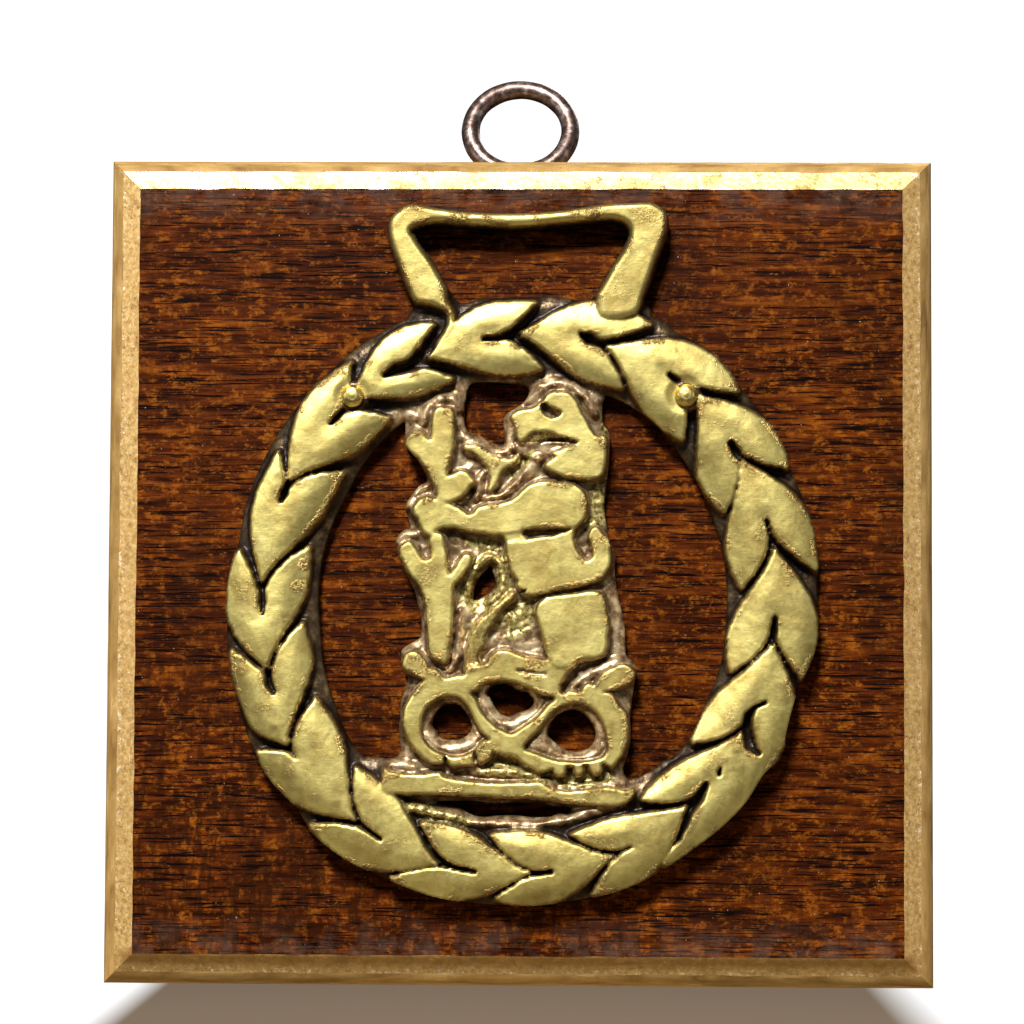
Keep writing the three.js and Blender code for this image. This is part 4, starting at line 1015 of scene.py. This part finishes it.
# A pin's point, shank and domed head: radius and height over its seat.
PIN_PROFILE = [
    (0, -13), (0.25, -12.4), (0.6, -11.5), (0.6, 0), (1.2, 0), (1.33, 0.06), (1.375, 0.2), (1.34, 0.36),
    (1.2, 0.62), (1.02, 0.78), (1.0, 0.84), (0.78, 0.98), (0.55, 1.07), (0.5, 1.06), (0.3, 1.12), (0, 1.14),
]
PIN_SEAT = 3.6
PIN_MATERIAL = pin_brass()
for side, (x, z) in zip(("left", "right"), PINS):
    made = lathe(PIN_PROFILE, 40)
    made.transform(Matrix.Translation((x, -(BACK_Y + PIN_SEAT), z)) @ Matrix.Rotation(math.pi / 2, 4, "X"))
    made.transform(Matrix.Scale(MM, 4))
    name = f"pin_{side}_turned"
    piece(name, to_mesh(made, name), [PIN_MATERIAL], f"pin_{side}")


# The board's section from its back to its face: how far out from the middle, and how far from the wall.
BOARD_SECTION = [
    (50.6, 0), (HALF, 0.2), (HALF, 15.7), (50.74, 16.15), (50.55, 16.6), (50.2, 17.05), (49.8, 17.45),
    (49.4, 17.78), (49.15, 17.95), (48.9, 18.03), (47.15, 18.93), (46.9, 19.03), (46.6, FACE_Y),
]
# The material of each of its bands: 0 wood, 1 gilding, 2 painted bevel, 3 painted side, 4 sawn back.
BOARD_MATERIALS = [3, 3, 3, 2, 2, 2, 2, 2, 1, 1, 1, 0]
INNER_BEVEL = 8       # the point of the section where the inner bevel starts
PER_SIDE = 128


def evened_wobble(count):
    """How uneven the arrises are at each place round the board, from -1 to 1."""
    wobble = np.random.RandomState(3).uniform(-1, 1, (len(BOARD_SECTION), count))
    for _ in range(3):
        wobble = (wobble + np.roll(wobble, 1, 1) + np.roll(wobble, -1, 1)) / 3
    return wobble


def plaque_mesh():
    """The board: a bevelled section run round the square, its arrises a little worn."""
    stations = [(side, -1 + 2 * k / PER_SIDE) for side in range(4) for k in range(PER_SIDE)]
    count = len(stations)
    wobble = evened_wobble(count)
    made = bmesh.new()
    rings = []
    for s, (out, depth) in enumerate(BOARD_SECTION):
        ring = []
        for k, (side, part) in enumerate(stations):
            from_corner = min(1, (1 - abs(part)) * 12)
            shift = wobble[s, k] * from_corner * (0.16 if s >= INNER_BEVEL else 0.03)
            reach = min(out + shift, HALF)
            deep = min(depth - abs(wobble[s, k]) * 0.05 * from_corner, depth)
            flat = out * part
            x, z = ((flat, reach), (reach, -flat), (-flat, -reach), (-reach, flat))[side]
            ring.append(made.verts.new((x, -max(deep, 0), z)))
        rings.append(ring)
    bridge(made, rings, BOARD_MATERIALS)
    made.faces.new(rings[-1]).material_index = 0
    made.faces.new(rings[0][::-1]).material_index = 4
    made.transform(Matrix.Scale(MM, 4))
    mesh = to_mesh(made, "plaque_board", 14)
    paint(mesh, "run", np.tile(np.arange(count) * HALF * 8 / count, len(BOARD_SECTION)))
    from_face = [math.hypot(out - HALF, depth - FACE_Y) for out, depth in BOARD_SECTION]
    paint(mesh, "across", np.repeat(from_face, count))
    return mesh


board_materials = [mahogany(), gilding(), painted_edge(), painted_edge(), sawn_back()]
piece("plaque_board", plaque_mesh(), board_materials, "plaque")


EYE_X, EYE_Y = -0.3, -6.5
WIRE, RING_RADIUS, LEAN = 1.18, 6.4, math.radians(24)


def bent_ring(made):
    """The eye's ring of slightly uneven wire, in its leaning place."""
    turn = Matrix.Translation((EYE_X, EYE_Y, HALF + 0.25)) @ Matrix.Rotation(-LEAN, 4, "X")
    steps, sides = 120, 24
    rings = []
    for k in range(steps):
        a = 2 * math.pi * (k + 0.5) / steps
        middle = Vector((-RING_RADIUS * math.sin(a), 0, RING_RADIUS * (1 - math.cos(a))))
        out = Vector((-math.sin(a), 0, -math.cos(a)))
        thick = WIRE * (1 + 0.012 * math.sin(5 * a + 1) + 0.008 * math.sin(13 * a))
        turns = [2 * math.pi * s / sides for s in range(sides)]
        around = [out * math.cos(b) + Vector((0, math.sin(b), 0)) for b in turns]
        rings.append([made.verts.new(turn @ (middle + thick * way)) for way in around])
    bridge(made, rings)
    made.faces.new(rings[0][::-1])
    made.faces.new(rings[-1])


def screw_shank():
    """The threaded shank from its point up to where the ring closes on it."""
    pitch, depth = 1.1, 12.9
    profile = [(0, -depth), (0.25, -depth + 0.4)]
    for k in range(40):
        down = depth - 0.8 - k * pitch / 4
        if down < 3:
            break
        crest = 1.0 if k % 4 < 2 else 0.8
        profile.append((min(WIRE, 0.45 + 0.28 * (depth - down)) * crest, -down))
    profile += [(1.15, -2.6), (1.15, 0.2), (0.95, 0.45), (0, 0.5)]
    shank = lathe(profile, 24)
    shank.transform(Matrix.Translation((EYE_X, EYE_Y, HALF)))
    return shank


def eye_mesh():
    """A ring of bent wire that closes against its own screw shank."""
    made = bmesh.new()
    bent_ring(made)
    shank = screw_shank()
    spare = bpy.data.meshes.new("shank")
    shank.to_mesh(spare)
    shank.free()
    made.from_mesh(spare)
    bpy.data.meshes.remove(spare)
    made.transform(Matrix.Scale(MM, 4))
    return to_mesh(made, "hanging_eye_wire", 40)


piece("hanging_eye_wire", eye_mesh(), [dark_metal()], "hanging_eye")

# ---------------------------------------------------------------- floor, light and camera

def pale_floor():
    """White to the lens, as a studio sweep is, save for a painted shadow under the plaque; dim to everything
    else, and clear to the lamp below it.
    """
    n = Nodes("pale_floor")
    path = n.make("ShaderNodeLightPath").outputs
    seen = path["Is Camera Ray"]
    along_x, along_y, _ = n.make("ShaderNodeSeparateXYZ", Vector=n.position()).outputs
    # A painted shadow on the floor under the plaque: between its left and right edges, from just in front of
    # it to behind it.
    left = n.ramp(n.times(n.plus(along_x, 60.0), 0.01), (0.062, 0.0), (0.11, 1.0))
    right = n.ramp(n.times(along_x, 0.01), (0.47, 1.0), (0.545, 0.0))
    near = n.ramp(n.times(n.plus(along_y, 40.0), 0.01), (0.05, 0.0), (0.2, 1.0), (0.7, 1.0),
                  (0.8, 0.0))
    shade = n.times(n.times(left, right), near)
    # The floor's glow to the lens: white, and brown-grey where the shadow is painted.
    glow = n.mix(shade, (1.15, 1.15, 1.15), (0.17, 0.122, 0.088))
    # Where the lens sees it plain white, it reflects nothing.
    lit = n.minus(1.0, n.times(seen, n.minus(1.0, shade)))
    return n.finish(Base_Color=n.mix(lit, (0.0, 0.0, 0.0), (0.12, 0.12, 0.12)), Roughness=0.9,
                    Specular_IOR_Level=n.times(lit, 0.5), Emission_Color=glow, Emission_Strength=seen,
                    Alpha=n.minus(1.0, path["Is Shadow Ray"]))


def sweep():
    """A pale floor that curves up into a far backdrop all round."""
    made = bmesh.new()
    floor, far, curve = -0.056, 2.2, 1.0
    profile = [(0.6, floor)]
    profile += [(far - curve + curve * math.sin(t), floor + curve * (1 - math.cos(t)))
                for t in np.linspace(0, math.pi / 2, 14)]
    profile += [(far, floor + 2.6)]
    rings = [turned_ring(made, radius, height, 96) for radius, height in profile]
    made.faces.new(rings[0])
    bridge(made, rings)
    mesh = bpy.data.meshes.new("floor")
    for face in made.faces:
        face.smooth = True
    made.to_mesh(mesh)
    made.free()
    mesh.materials.append(pale_floor())
    floor_object = bpy.data.objects.new("floor", mesh)
    bpy.context.collection.objects.link(floor_object)


def softbox(name, place, aim, width, height, power, colour=(1, 1, 1)):
    data = bpy.data.lights.new(name, "AREA")
    data.color = colour
    data.shape, data.size, data.size_y, data.energy = "RECTANGLE", width, height, power
    lamp = bpy.data.objects.new(name, data)
    lamp.location = place
    lamp.rotation_mode = "QUATERNION"
    lamp.rotation_quaternion = (Vector(aim) - Vector(place)).to_track_quat("-Z", "Y")
    bpy.context.collection.objects.link(lamp)


sweep()
softbox("key", (-0.22, -0.91, 0.84), (0, -0.02, 0), 0.28, 0.22, 37)
softbox("left", (-1.1, -0.55, 0.05), (0, 0, 0), 0.4, 0.8, 2.4)
softbox("right", (1.1, -0.55, 0.05), (0, 0, 0), 0.4, 0.8, 1.3)
softbox("behind", (0.5, 1.1, 0.8), (0, 0, 0), 0.8, 0.6, 9)
softbox("below", (0, -0.045, -0.1), (0, -0.018, -0.05), 0.16, 0.03, 0.085, (1.0, 0.80, 0.48))
bpy.context.scene.view_settings.view_transform = "Standard"
world = bpy.data.worlds.new("studio")
bpy.context.scene.world = world
world.use_nodes = True
background = world.node_tree.nodes["Background"].inputs
background["Color"].default_value = (1.0, 0.99, 0.97, 1)
background["Strength"].default_value = 0.055


def camera():
    """A 100 mm lens on a 36 mm sensor, square on and a little below the middle."""
    data = bpy.data.cameras.new("camera")
    data.lens, data.sensor_width, data.clip_start, data.clip_end = 100, 36, 0.01, 20
    made = bpy.data.objects.new("camera", data)
    forward = Vector((-0.02043, 0.99847, 0.05142)).normalized()
    level = Vector((math.cos(0.02046), math.sin(0.02046), 0))
    up = level.cross(forward)
    roll = 0.0047
    right = level * math.cos(roll) + up * math.sin(roll)
    up = up * math.cos(roll) - level * math.sin(roll)
    made.matrix_world = Matrix((
        (right.x, up.x, -forward.x, 0.00625), (right.y, up.y, -forward.y, -0.3665),
        (right.z, up.z, -forward.z, -0.0108), (0, 0, 0, 1)))
    bpy.context.collection.objects.link(made)
    bpy.context.scene.camera = made


camera()
